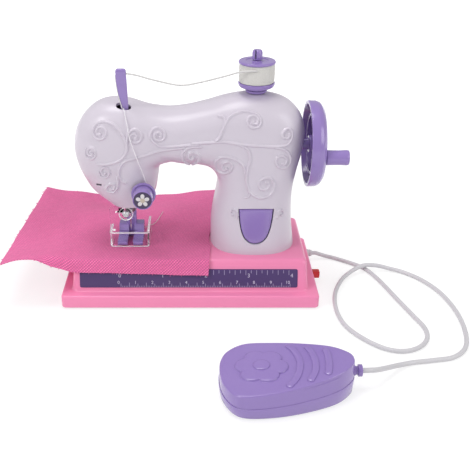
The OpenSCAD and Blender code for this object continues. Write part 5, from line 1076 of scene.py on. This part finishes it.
piece("dial_petals", joined(*petals), petal_white, "dial", ())
piece("dial_heart", turned(fillet([(0, FACE + 0.1), (1.4, FACE + 0.1), (1.35, FACE + 0.45), (0.8, FACE + 0.6),
                                   (0, FACE + 0.6)], [0, 0, 0.2, 0.2, 0], 3),
                           DIAL, "-y", 36), petal_heart, "dial", ())
print("dial petals:", len(petals))

# %% [markdown]
# ## Needle, presser foot and finger guard
# Under the nose, a clear guard keeps fingers from the needle. Clear plastic shows its edges more than its
# faces, so the walls are one continuous bent strip with rounded rims, and nothing overlaps inside it.

# %% Presser foot
foot_parts = []
for side in (-1, 1):
    x0, x1 = (-36.5 - 7.6, -36.5 - 1.7) if side < 0 else (-36.5 + 1.7, -36.5 + 7.6)
    sole = fillet([(-10, 28.1), (-9.4, 27.9), (11, 27.9), (11, 35.5), (4, 35.5), (3.2, 31.2), (-7.6, 30.7),
                   (-9.9, 30.2)],
                  [0.5, 0.4, 0.4, 0.7, 0.8, 1.4, 0.6, 0.8], 4, closed=True)
    rings = []
    for x, s in ((x0, 0.0), (x0 + 0.12, 0.5), (x0 + 0.4, 1.0), (x1 - 0.4, 1.0), (x1 - 0.12, 0.5), (x1, 0.0)):
        mid = sole.mean(axis=0)
        shrink = 1 - (1 - s) * 0.03
        rings.append(np.array([(x, *(mid + (q - mid) * shrink)) for q in sole]))
    foot_parts.append(skin(rings))
foot_parts.append(block((-39.5, 5.2, 33), (-33.5, 11, 44), 0.6))
foot_parts.append(block((-38.2, 5.4, 28.1), (-34.8, 10.9, 35.2), 0.2))
piece("presser_foot_dressed", joined(*foot_parts), purple, "presser", ("presser_foot",))
clamp = turned(fillet([(0, 46), (2.3, 46), (3.1, 46.9), (3.1, 51.2), (2.4, 52), (0, 52)],
                      [0, 0.2, 0.3, 0.3, 0.2, 0], 4), (-36.5, 0, 0), "z", 40)
thumb = turned(fillet([(0, 2.6), (1.0, 2.6), (1.0, 3.2), (1.6, 3.3), (1.6, 3.9), (0, 3.9)],
                      [0, 0, 0.1, 0.2, 0.2, 0], 3), (-36.5, 0, 49), "-y", 24)
piece("needle_clamp_dressed", joined(clamp, thumb), dark_steel, "needle_set", ("needle_clamp",))
needle_profile = [(0, 33.5), (0.12, 33.6), (0.42, 35.4), (0.5, 36.6), (0.36, 37), (0.36, 37.9), (0.5, 38.3),
                  (0.5, 44), (0.55, 46), (0.55, 50), (0, 50)]
piece("needle_dressed", turned(needle_profile, (-36.5, 0, 0), "z", 24), steel, "needle_set", ("needle",))
print("presser foot parts:", len(foot_parts))

# %% [markdown]
# The guard's wall is a bent strip: a path round three sides, thickened to both sides. Its edges get pale,
# faintly glowing rims of their own. They are a painted highlight for the light that gathers there in clear
# plastic and that a short render would lose.

# %% Finger guard
GUARD_X0, GUARD_X1, GUARD_Y0, GUARD_YL, GUARD_Y1 = -48.4, -24.8, -12.0, 1.0, 11.7
GUARD_Z0, GUARD_Z1 = 27.8, 37.2
BOSS = (-38.7, 0, 47.4)
outer = fillet([(GUARD_X0, GUARD_YL), (GUARD_X0, GUARD_Y0), (GUARD_X1, GUARD_Y0), (GUARD_X1, GUARD_Y1)],
               [0, 2.2, 2.2, 0], 6)
inner = fillet([(GUARD_X0 + 1.2, GUARD_YL), (GUARD_X0 + 1.2, GUARD_Y0 + 1.2), (GUARD_X1 - 1.2, GUARD_Y0 + 1.2),
                (GUARD_X1 - 1.2, GUARD_Y1)],
               [0, 1.2, 1.2, 0], 6)
centre_line = (outer + inner) / 2
wall_rings = []
for thin, z in ((0.6, GUARD_Z0), (1, GUARD_Z0 + 0.25), (1, GUARD_Z1 - 0.9), (1.25, GUARD_Z1 - 0.6),
                (1.25, GUARD_Z1 - 0.2), (0.8, GUARD_Z1)):
    o, i = centre_line + (outer - centre_line) * thin, centre_line + (inner - centre_line) * thin
    wall_rings.append(raised(np.vstack((o, i[::-1])), z))
guard_parts = [skin(wall_rings)]
strip = fillet([(-48.4, 36.2), (-45.4, 36.2), (-45.4, 48.4), (-41, 48.4), (-41, 51.7), (-48.4, 51.7)],
               [0.3, 0.3, 1.5, 0.3, 0.5, 1.6], 4, closed=True)
guard_parts.append(skin([np.array([(x, y, z) for x, z in strip]) for y in (-7, -4.2)]))
guard_parts.append(turned(fillet([(1.3, 4.2), (4.0, 4.2), (4.3, 4.5), (4.3, 6.7), (4.0, 7), (2.9, 7),
                                  (2.8, 6.6), (1.3, 6.6)],
                                 [0, 0.2, 0.3, 0.3, 0.2, 0.1, 0.1, 0], 4), BOSS, "-y", 56))
stem = fillet([(-7, 48.0), (-0.2, 48.0), (-0.2, 58), (-3.2, 58), (-3.2, 51.6), (-7, 51.6)],
              [0.3, 0.8, 0.2, 0.2, 0.3, 0.3], 4, closed=True)
guard_parts.append(skin([np.array([(x, y, z) for y, z in stem]) for x in (-43, -40.1)]))
piece("finger_guard_dressed", joined(*guard_parts), clear, "machine", ("finger_guard",))
# Pale rims along the guard's top, ends, foot and boss: a painted highlight on its edges.
rim_rings = []
for wide, z in ((1.0, GUARD_Z1 - 0.6), (1.2, GUARD_Z1 - 0.45), (1.2, GUARD_Z1 - 0.1), (0.95, GUARD_Z1 + 0.05)):
    o, i = centre_line + (outer - centre_line) * wide, centre_line + (inner - centre_line) * wide
    rim_rings.append(raised(np.vstack((o, i[::-1])), z))
rims = [skin(rim_rings)]
for end in (centre_line[0], centre_line[-1]):
    rims.append(tube([(*end, GUARD_Z0), (*end, (GUARD_Z0 + GUARD_Z1) / 2), (*end, GUARD_Z1 - 0.4)], 0.5, 12))
rims.append(skin([raised(np.vstack((outer, (centre_line + (inner - centre_line) * 0.2)[::-1])), z)
                  for z in (GUARD_Z0, GUARD_Z0 + 0.5)]))
boss_rim = turned(fillet([(3.75, 6.9), (4.35, 6.9), (4.35, 7.15), (3.75, 7.15), (3.75, 6.9)], 0.05, 2), BOSS,
                  "-y", 56)[0].reshape(-1, 56, 3)
rims.append(skin(list(boss_rim), False, False))
piece("guard_rims_painted_highlight", joined(*rims), painted_rim_highlight, "machine", ())
screw_head = turned(fillet([(0, 4.3), (1.25, 4.3), (1.25, 6.7), (2.3, 6.7), (2.4, 7.3), (1.8, 8.1), (0, 8.2)],
                           [0, 0, 0.1, 0.2, 0.3, 0.4, 0], 4), BOSS, "-y", 40)
screw_mesh = cut_mesh(build_mesh("guard_screw", screw_head),
                      block((-40.4, -9, 47.1), (-37.0, -7.7, 47.7), 0.05, 1),
                      block((-39.0, -9, 45.7), (-38.4, -7.7, 49.1), 0.05, 1))
piece("guard_screw_dressed", screw_mesh, steel, "machine", ("guard_screw",))
print("guard parts:", len(guard_parts))

# %% [markdown]
# ## Drawer
# The little drawer's front follows the swell of the column, a touch behind it, so a fine dark gap outlines
# it. Its tray is a plain box behind the front, open at the top.

# %% Drawer
front = []
for scale, lift in ((1.0, None), (1.0, 0.9), (0.98, 0.5), (0.93, 0.22), (0.8, 0.18), (0.55, 0.16), (0.3, 0.14),
                    (0.1, 0.14)):
    flat = shield_outline(0)
    mid = np.array((DRAWER_X, DRAWER_TIP + 0.56 * (DRAWER_TOP - DRAWER_TIP)))
    flat = mid + (flat - mid) * scale
    front.append(np.array([(x, -17.0 if lift is None else body_front(x, z) + lift, z) for x, z in flat]))
tray = cut_mesh(build_mesh("tray", block((31.9, -17.2, 41.2), (44.9, 7.8, 52.2), 0.5)),
                block((33.2, -15.9, 42.5), (43.6, 6.5, 56), 0.3))
front_shape = build_mesh("drawer_front", skin(front), 50)
piece("drawer_front", front_shape, purple, "drawer_box", ("drawer",))
piece("drawer_tray", tray, purple, "drawer_box", ())
print("drawer front rings:", len(front))

# %% [markdown]
# ## Foot pedal
# The pedal is a rounded shoe in two mouldings. The tread's skirt runs down inside the lower shell, whose
# thin lip shows as a fine line. One outline, drawn in by different amounts, gives every ring of both. The
# top rises towards the cord.

# %% Pedal shells
PEDAL = [(-0.5, 0.04), (-0.482, -0.2), (-0.41, -0.42), (-0.3, -0.5), (-0.07, -0.475), (0.17, -0.375),
         (0.365, -0.24), (0.478, -0.07),
         (0.5, 0.06), (0.47, 0.18), (0.35, 0.325), (0.14, 0.425), (-0.095, 0.485), (-0.3, 0.5), (-0.43, 0.385),
         (-0.485, 0.23)]
PEDAL_AT, PEDAL_L, PEDAL_W = np.array((48.4, -116.0)), 67.4, 43.8
PEDAL_TOE, PEDAL_HEEL, PEDAL_RISE, PEDAL_LEAN = 12.8, 18.6, 0.7, 2.4
pedal_share = smooth_path(PEDAL, 8, closed=True)


def pedal_ring(inset, toe, heel, rise=0.0, lean=0.0):
    flat = PEDAL_AT + pedal_share * np.array((PEDAL_L - 2 * inset, PEDAL_W - 2 * inset))
    along, across = ((flat - PEDAL_AT) / np.array((PEDAL_L, PEDAL_W)) + 0.5).T
    flat[:, 1] += lean * along * (1 - across)
    return np.column_stack((flat, toe + (heel - toe) * along + rise * across))


tread = [pedal_ring(1.6, 11.4, 17.0), pedal_ring(1.6, 5.2, 8.6), pedal_ring(1.5, 4.8, 8.2),
         pedal_ring(0.42, 4.8, 8.2),
         pedal_ring(0.34, 5.0, 8.4), pedal_ring(0.34, 6.4, 10.2)]
tread += [pedal_ring(0.34 + i, PEDAL_TOE - d, PEDAL_HEEL - d, PEDAL_RISE, PEDAL_LEAN) for i,
          d in quarter(0.9, 6)]
tread += [pedal_ring(i, PEDAL_TOE, PEDAL_HEEL, PEDAL_RISE, PEDAL_LEAN) for i in (4, 8, 13, 18)]
tread_mesh = cut_mesh(build_mesh("tread", skin(tread), 50),
                      turned([(0, 0), (3.3, 0), (3.3, 12), (0, 12)], (79, -112, 10.6), "x", 40))
piece("pedal_tread_dressed", tread_mesh, purple, "tread", ("pedal_tread",))
shoe = [pedal_ring(1.8, 0.7, 0.7), pedal_ring(0.9, 0.9, 0.9), pedal_ring(0.45, 1.7, 1.7),
        pedal_ring(0.0, 5.5, 9.0),
        pedal_ring(0.03, 5.9, 9.45), pedal_ring(0.1, 6.08, 9.63), pedal_ring(0.2, 6.13, 9.68),
        pedal_ring(0.29, 6.08, 9.63),
        pedal_ring(0.3, 5.4, 8.8), pedal_ring(0.3, 2.6, 5.6), pedal_ring(1.9, 2.4, 5.2),
        pedal_ring(3.6, 2.3, 2.3)]
shoe_mesh = cut_mesh(build_mesh("shoe", skin(shoe), 50),
                     turned([(0, 0), (2.75, 0), (2.75, 12), (0, 12)], (77, -112, 10.6), "x", 40))
piece("pedal_shoe", shoe_mesh, purple, "machine", ("pedal_base",))
gland_profile = fillet([(0, 0), (2.7, 0), (2.7, 4.6), (2.2, 5.2), (2.2, 6.0), (3.1, 6.2), (3.1, 8.2),
                        (1.35, 8.4), (0, 8.4)],
                       [0, 0.2, 0.2, 0.2, 0.2, 0.2, 0.3, 0, 0], 4)
piece("pedal_bush", turned(gland_profile, (78.1, -112, 10.6), "x", 48), purple, "machine", ("pedal_gland",))
print("tread rings", len(tread), "shoe rings", len(shoe))


# %% [markdown]
# A raised flower and three curved bars are moulded on the tread for grip. They could be a bump in the
# finish, but real ridges catch the light at their edges. We land their spots on the sloped top and raise
# skins from it.

# %% Flower and grip bars
def pedal_top(x, y):
    along = (x - PEDAL_AT[0]) / PEDAL_L + 0.5
    return PEDAL_TOE + (PEDAL_HEEL - PEDAL_TOE) * along + PEDAL_RISE * ((y - PEDAL_AT[1]) / PEDAL_W + 0.5)


def pedal_land(u, v):
    """Where a spot of the photograph meets the top of the tread."""
    ray, z = photo_ray(u, v), 15.0
    for _ in range(6):
        spot = CAMERA_AT + ray * (z - CAMERA_AT[2]) / ray[2]
        z = pedal_top(*spot[:2])
    return spot[:2]


FLOWER_AT, FLOWER_R = pedal_land(261.3, 366.6), 13.3
notch = pedal_land(259.2, 378.7) - FLOWER_AT
NOTCH_ANGLE = math.atan2(notch[1], notch[0])
relief = []
for scale, lift in ((1.03, -0.5), (1.0, 0.1), (0.985, 0.6), (0.96, 0.85), (0.92, 0.92), (0.5, 0.92)):
    t = np.arange(160) * 2 * math.pi / 160
    r = FLOWER_R * scale * (0.78 + 0.22 * np.abs(np.sin(3 * (t - NOTCH_ANGLE))) ** 0.6)
    x, y = FLOWER_AT[0] + r * np.cos(t), FLOWER_AT[1] + 0.97 * r * np.sin(t)
    relief.append(np.column_stack((x, y, pedal_top(x, y) + lift)))
flower = skin(relief)
heart = []
for scale, lift in ((1.0, 0.6), (1.0, 1.25), (0.93, 1.5), (0.8, 1.58), (0.3, 1.6)):
    t = np.arange(48) * 2 * math.pi / 48
    x, y = FLOWER_AT[0] + 4.2 * scale * np.cos(t), FLOWER_AT[1] + 4.0 * scale * np.sin(t)
    heart.append(np.column_stack((x, y, pedal_top(x, y) + lift)))
bars = []
BARS = [[(286.5, 345.8), (293.3, 350.4), (299.2, 360), (300, 368.3), (296.7, 378.3), (288.3, 387.5)],
        [(306, 346.8), (311.7, 353.3), (315.5, 363.3), (315, 372.5), (310, 381.7)],
        [(324.4, 348.8), (327.5, 355), (329.2, 365), (328.3, 375)]]
BAR_ACROSS, BAR_UP = (-1.05, -1, -0.9, -0.6, 0, 0.6, 0.9, 1, 1.05), (-0.4, 0.1, 0.66, 0.82, 0.84, 0.82, 0.66,
                                                            0.1, -0.4)
for route in BARS:
    path = resample(smooth_path([pedal_land(u, v) for u, v in route], 10), 0.6)
    half = 1.65
    tangent = np.gradient(path, axis=0)
    tangent /= np.linalg.norm(tangent, axis=1)[:, None]
    rings = []
    for k, (p, t) in enumerate(zip(path, tangent)):
        across = np.array((-t[1], t[0]))
        swell = math.sqrt(min(1.0, min(k, len(path) - 1 - k) / 1.6 + 0.3))
        ring = [(*(p + across * half * s * swell),
                 pedal_top(*(p + across * half * s * swell)) + h * swell - 0.05)
                for s, h in zip(BAR_ACROSS, BAR_UP)]
        rings.append(np.array(ring))
    bars.append(skin(rings))
piece("pedal_relief", joined(flower, skin(heart), *bars), purple, "tread", (), 50)
print("pedal bars:", len(bars))

# %% [markdown]
# ## Switch, bush and small things
# A red slide switch pokes out of the plinth beside the cord's bush.

# %% Switch and bush
knob_parts = [block((73.7, -7.7, 3.5), (80.2, -3.3, 7.7), 0.35),
              block((73.1, -8.3, 3.5), (73.7, -2.7, 6.4), 0.1)]
knob_parts += [block((79.9, -7.0 + 1.1 * k, 3.9), (80.45, -6.5 + 1.1 * k, 7.3), 0.12, 2) for k in range(4)]
piece("switch_knob_dressed", joined(*knob_parts), red, "switch_knob", ("power_switch",))
bush = turned(fillet([(0, 0), (2.7, 0), (2.7, 2.2), (2.5, 2.6), (2.4, 3.4), (2.15, 3.5), (2.15, 3.9),
                      (2.3, 4.0), (2.25, 4.7), (2.0, 4.8), (2.0, 5.1), (1.9, 5.5), (0, 5.5)],
                     [0, 0.1, 0.2, 0.1, 0.1, 0.05, 0.05, 0.1, 0.1, 0.05, 0.05, 0.1, 0], 3), (74, 23.7, 4.6),
              "x", 40)
piece("cord_bush", bush, sheath, "machine", ("cord_gland",))
print("switch parts:", len(knob_parts))

# %% [markdown]
# ## The cloth
# A square of pink cotton lies under the foot. It rests flat on the deck, bends over the front edge and
# hangs free on the left and at the back, where its corners lift and droop. The sheet is a fine grid shaped
# by the same rule as its solid, with small creases added, a thickness, and loose yarn ends along the cut
# edges.

# %% Cloth shape
CLOTH_W, CLOTH_L, CLOTH_T = 121.5, 114.0, 0.6
CLOTH_RIGHT, CLOTH_FRONT, BEND_LINE, BEND_RUN = 10.6, 36.3, 26.6, 2.4
CLOTH_TURN = math.radians(-4)


def cloth_point(u, v):
    """A point of the sheet's underside; u runs from its right edge, v from its front edge, both from 0 to 1."""
    front = -CLOTH_FRONT - u * CLOTH_W * math.sin(CLOTH_TURN) * 0.37
    y = front + CLOTH_L * math.cos(CLOTH_TURN) * v
    dent = (1 - u) * 1.9 * ease(1 - abs(y - BODY_Y) / 18)
    x = CLOTH_RIGHT - u * CLOTH_W * math.cos(CLOTH_TURN) - (y - front) * math.tan(CLOTH_TURN) - dent
    left, back = -70 - x, ease((y - 33) / (CLOTH_L / 3))
    over = max(0.0, -BEND_LINE - y)
    bend = math.radians(70) * (1 - ease((left - 4) / (CLOTH_W / 7))) + 1e-4
    turn, rest = bend * min(over, BEND_RUN) / BEND_RUN, max(0.0, over - BEND_RUN)
    ahead = BEND_RUN / bend * math.sin(turn) + rest * math.cos(bend)
    drop = BEND_RUN / bend * (1 - math.cos(turn)) + rest * math.sin(bend)
    sag = 6 * back * math.sin(math.pi * u)
    arch = 4 * math.sin(math.pi * min(1.0, max(0.0, left / (CLOTH_W / 3)))) * ease(-y / CLOTH_FRONT)
    loose = min(1.0, ease(left / 20) + back + ease(over / 6) * 0.3)
    crease = loose * (0.35 * math.sin(x * 0.23 + 0.8 * math.sin(y * 0.09))
                      + 0.2 * math.sin(y * 0.19 + x * 0.11))
    return np.array((x, -BEND_LINE - ahead if over > 0 else y, 26.8 - drop - sag + arch + crease))


COLS, ROWS = 130, 120
grid = np.array([[cloth_point(i / COLS, j / ROWS) for j in range(ROWS + 1)] for i in range(COLS + 1)])
du, dv = np.gradient(grid, axis=0), np.gradient(grid, axis=1)
up = np.cross(dv, du)
up /= np.linalg.norm(up, axis=2)[..., None]
up *= np.sign(up[..., 2:3])
ring_list = [np.vstack((grid[i] + up[i] * CLOTH_T, grid[i][::-1])) for i in range(COLS + 1)]
cloth_mesh = build_mesh("cloth_sheet", skin(ring_list), 60)
flat_uv = []
for i in range(COLS + 1):
    row = [(i / COLS * CLOTH_W * MM, j / ROWS * CLOTH_L * MM) for j in range(ROWS + 1)]
    flat_uv += row + row[::-1]
lay_uv(cloth_mesh, flat_uv)
cloth = piece("cloth_sheet", cloth_mesh, cloth_finish, "machine", ("cloth",))
print("cloth grid", COLS, "by", ROWS)

# %% Loose yarn ends
rng = np.random.default_rng(7)
ends = []
for k in range(150):
    edge = k % 3
    s = rng.random()
    u, v = ((s, 0.0), (1.0, s), (s, 1.0))[edge]
    p = cloth_point(u, v) + np.array((0, 0, CLOTH_T / 2))
    inward = cloth_point(*((u, 0.02) if edge == 0 else (0.98, v) if edge == 1 else (u, 0.98))) + np.array((0,
                                                            0, CLOTH_T / 2))
    out = (p - inward) / np.linalg.norm(p - inward)
    length = 0.5 + 0.9 * rng.random()
    tip = p + out * length + np.array((rng.normal(0, 0.25), 0, rng.normal(0, 0.18)))
    ends.append(tube([p - out * 0.4, p + out * length * 0.5, tip], [0.16, 0.12, 0.05], 5))
fray = piece("cloth_fray", joined(*ends), thread_pink, "machine", (), 80)
tail_path = [(-31, 13, 27.9), (-27.4, 15.5, 28.2), (-23.6, 19, 28.3), (-21, 27, 28.1), (-18.6, 38, 28.0)]
thread("thread_tail", tail_path, "machine", (), 0.17)
print("loose ends:", len(ends))

# %% [markdown]
# ## What stays as packed
# Screws, cells, gears, shafts and the chassis keep their solids. They only need the right finish, so each
# material slot of the record gets one of ours.

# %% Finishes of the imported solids
SLOT_FINISH = {"pink_plastic": pink, "white_plastic": white, "purple_plastic": purple, "steel": steel,
               "black_plastic": black,
               "red_plastic": red, "rubber": rubber, "cell_wrap": wrap, "cord_sheath": sheath,
               "thread": thread_white,
               "cloth": cloth_finish, "clear_plastic": clear, "ruler_print": strip_print}
slot_of = {s["node"]: s["material_slot"] for s in frame["record"]["subparts"]}
for name, obj in frame["nodes"].items():
    finish = SLOT_FINISH[slot_of[name]]
    for index in range(len(obj.material_slots)):
        obj.material_slots[index].material = finish
    if not obj.material_slots:
        obj.data.materials.append(finish)
print("packed solids dressed:", len(frame["nodes"]))

# %% [markdown]
# ## Light and floor
# The photograph is a plain catalogue shot: white all round, with soft light from above and the left. A
# large panel overhead, a softer one at each side and a white world do that. The floor is white to the
# camera but still takes the machine's soft shadow.

# %% Floor, world and lamps
floor_mesh = bpy.data.meshes.new("floor")
floor_mesh.from_pydata([(-6, -6, 0), (6, -6, 0), (6, 6, 0), (-6, 6, 0)], [], [(0, 1, 2, 3)])
floor = bpy.data.objects.new("floor", floor_mesh)
bpy.context.collection.objects.link(floor)
floor_mat = bpy.data.materials.new("white_floor")
floor_mat.use_nodes = True
tree = floor_mat.node_tree
tree.nodes.clear()
path = node(tree, "ShaderNodeLightPath")
seen = node(tree, "ShaderNodeMath", {"operation": "MAXIMUM"}, i0=path.outputs["Is Camera Ray"],
            i1=path.outputs["Is Glossy Ray"])
seen = node(tree, "ShaderNodeMath", {"operation": "MAXIMUM"}, i0=seen.outputs[0],
            i1=path.outputs["Is Transmission Ray"])
part = node(tree, "ShaderNodeMath", {"operation": "MULTIPLY"}, i0=seen.outputs[0], i1=0.58)
away = node(tree, "ShaderNodeVectorMath", {"operation": "LENGTH"},
            i0=node(tree, "ShaderNodeTexCoord").outputs["Object"])
bright = node(tree, "ShaderNodeMapRange", Value=away.outputs["Value"], From_Min=0.16, From_Max=0.5, To_Min=1.2,
              To_Max=1.75)
matt = node(tree, "ShaderNodeBsdfDiffuse", Color=(0.9, 0.9, 0.9, 1))
glow = node(tree, "ShaderNodeEmission", Color=(1, 1, 1, 1), Strength=bright.outputs[0])
both = node(tree, "ShaderNodeMixShader", i0=part.outputs[0], i1=matt.outputs[0], i2=glow.outputs[0])
node(tree, "ShaderNodeOutputMaterial", Surface=both.outputs[0])
floor_mesh.materials.append(floor_mat)

world = bpy.data.worlds.new("white_room")
bpy.context.scene.world = world
world.use_nodes = True
tree = world.node_tree
tree.nodes.clear()
path = node(tree, "ShaderNodeLightPath")
seen = node(tree, "ShaderNodeMath", {"operation": "MAXIMUM"}, i0=path.outputs["Is Camera Ray"],
            i1=path.outputs["Is Transmission Ray"])
room = node(tree, "ShaderNodeBackground", Color=(1, 1, 1, 1), Strength=0.5)
backdrop = node(tree, "ShaderNodeBackground", Color=(1, 1, 1, 1), Strength=1.0)
both = node(tree, "ShaderNodeMixShader", i0=seen.outputs[0], i1=room.outputs[0], i2=backdrop.outputs[0])
node(tree, "ShaderNodeOutputWorld", Surface=both.outputs[0])


def panel(name, at, size, power, aim=(0, 0, 0.06)):
    lamp = bpy.data.lights.new(name, "AREA")
    lamp.shape, lamp.size, lamp.size_y, lamp.energy = "RECTANGLE", size[0], size[1], power
    obj = bpy.data.objects.new(name, lamp)
    bpy.context.collection.objects.link(obj)
    obj.location = at
    obj.rotation_euler = (Vector(aim) - Vector(at)).to_track_quat("-Z", "Y").to_euler()
    return obj


panel("overhead_panel", (-0.15, 0.1, 1.1), (0.5, 0.5), 4.0)
panel("left_panel", (-0.9, -0.7, 0.75), (0.4, 0.4), 5.2)
panel("right_panel", (0.9, -0.5, 0.6), (0.5, 0.6), 2.9)
bpy.context.scene.view_settings.view_transform = "Standard"
print("lamps:", len(bpy.data.lights))
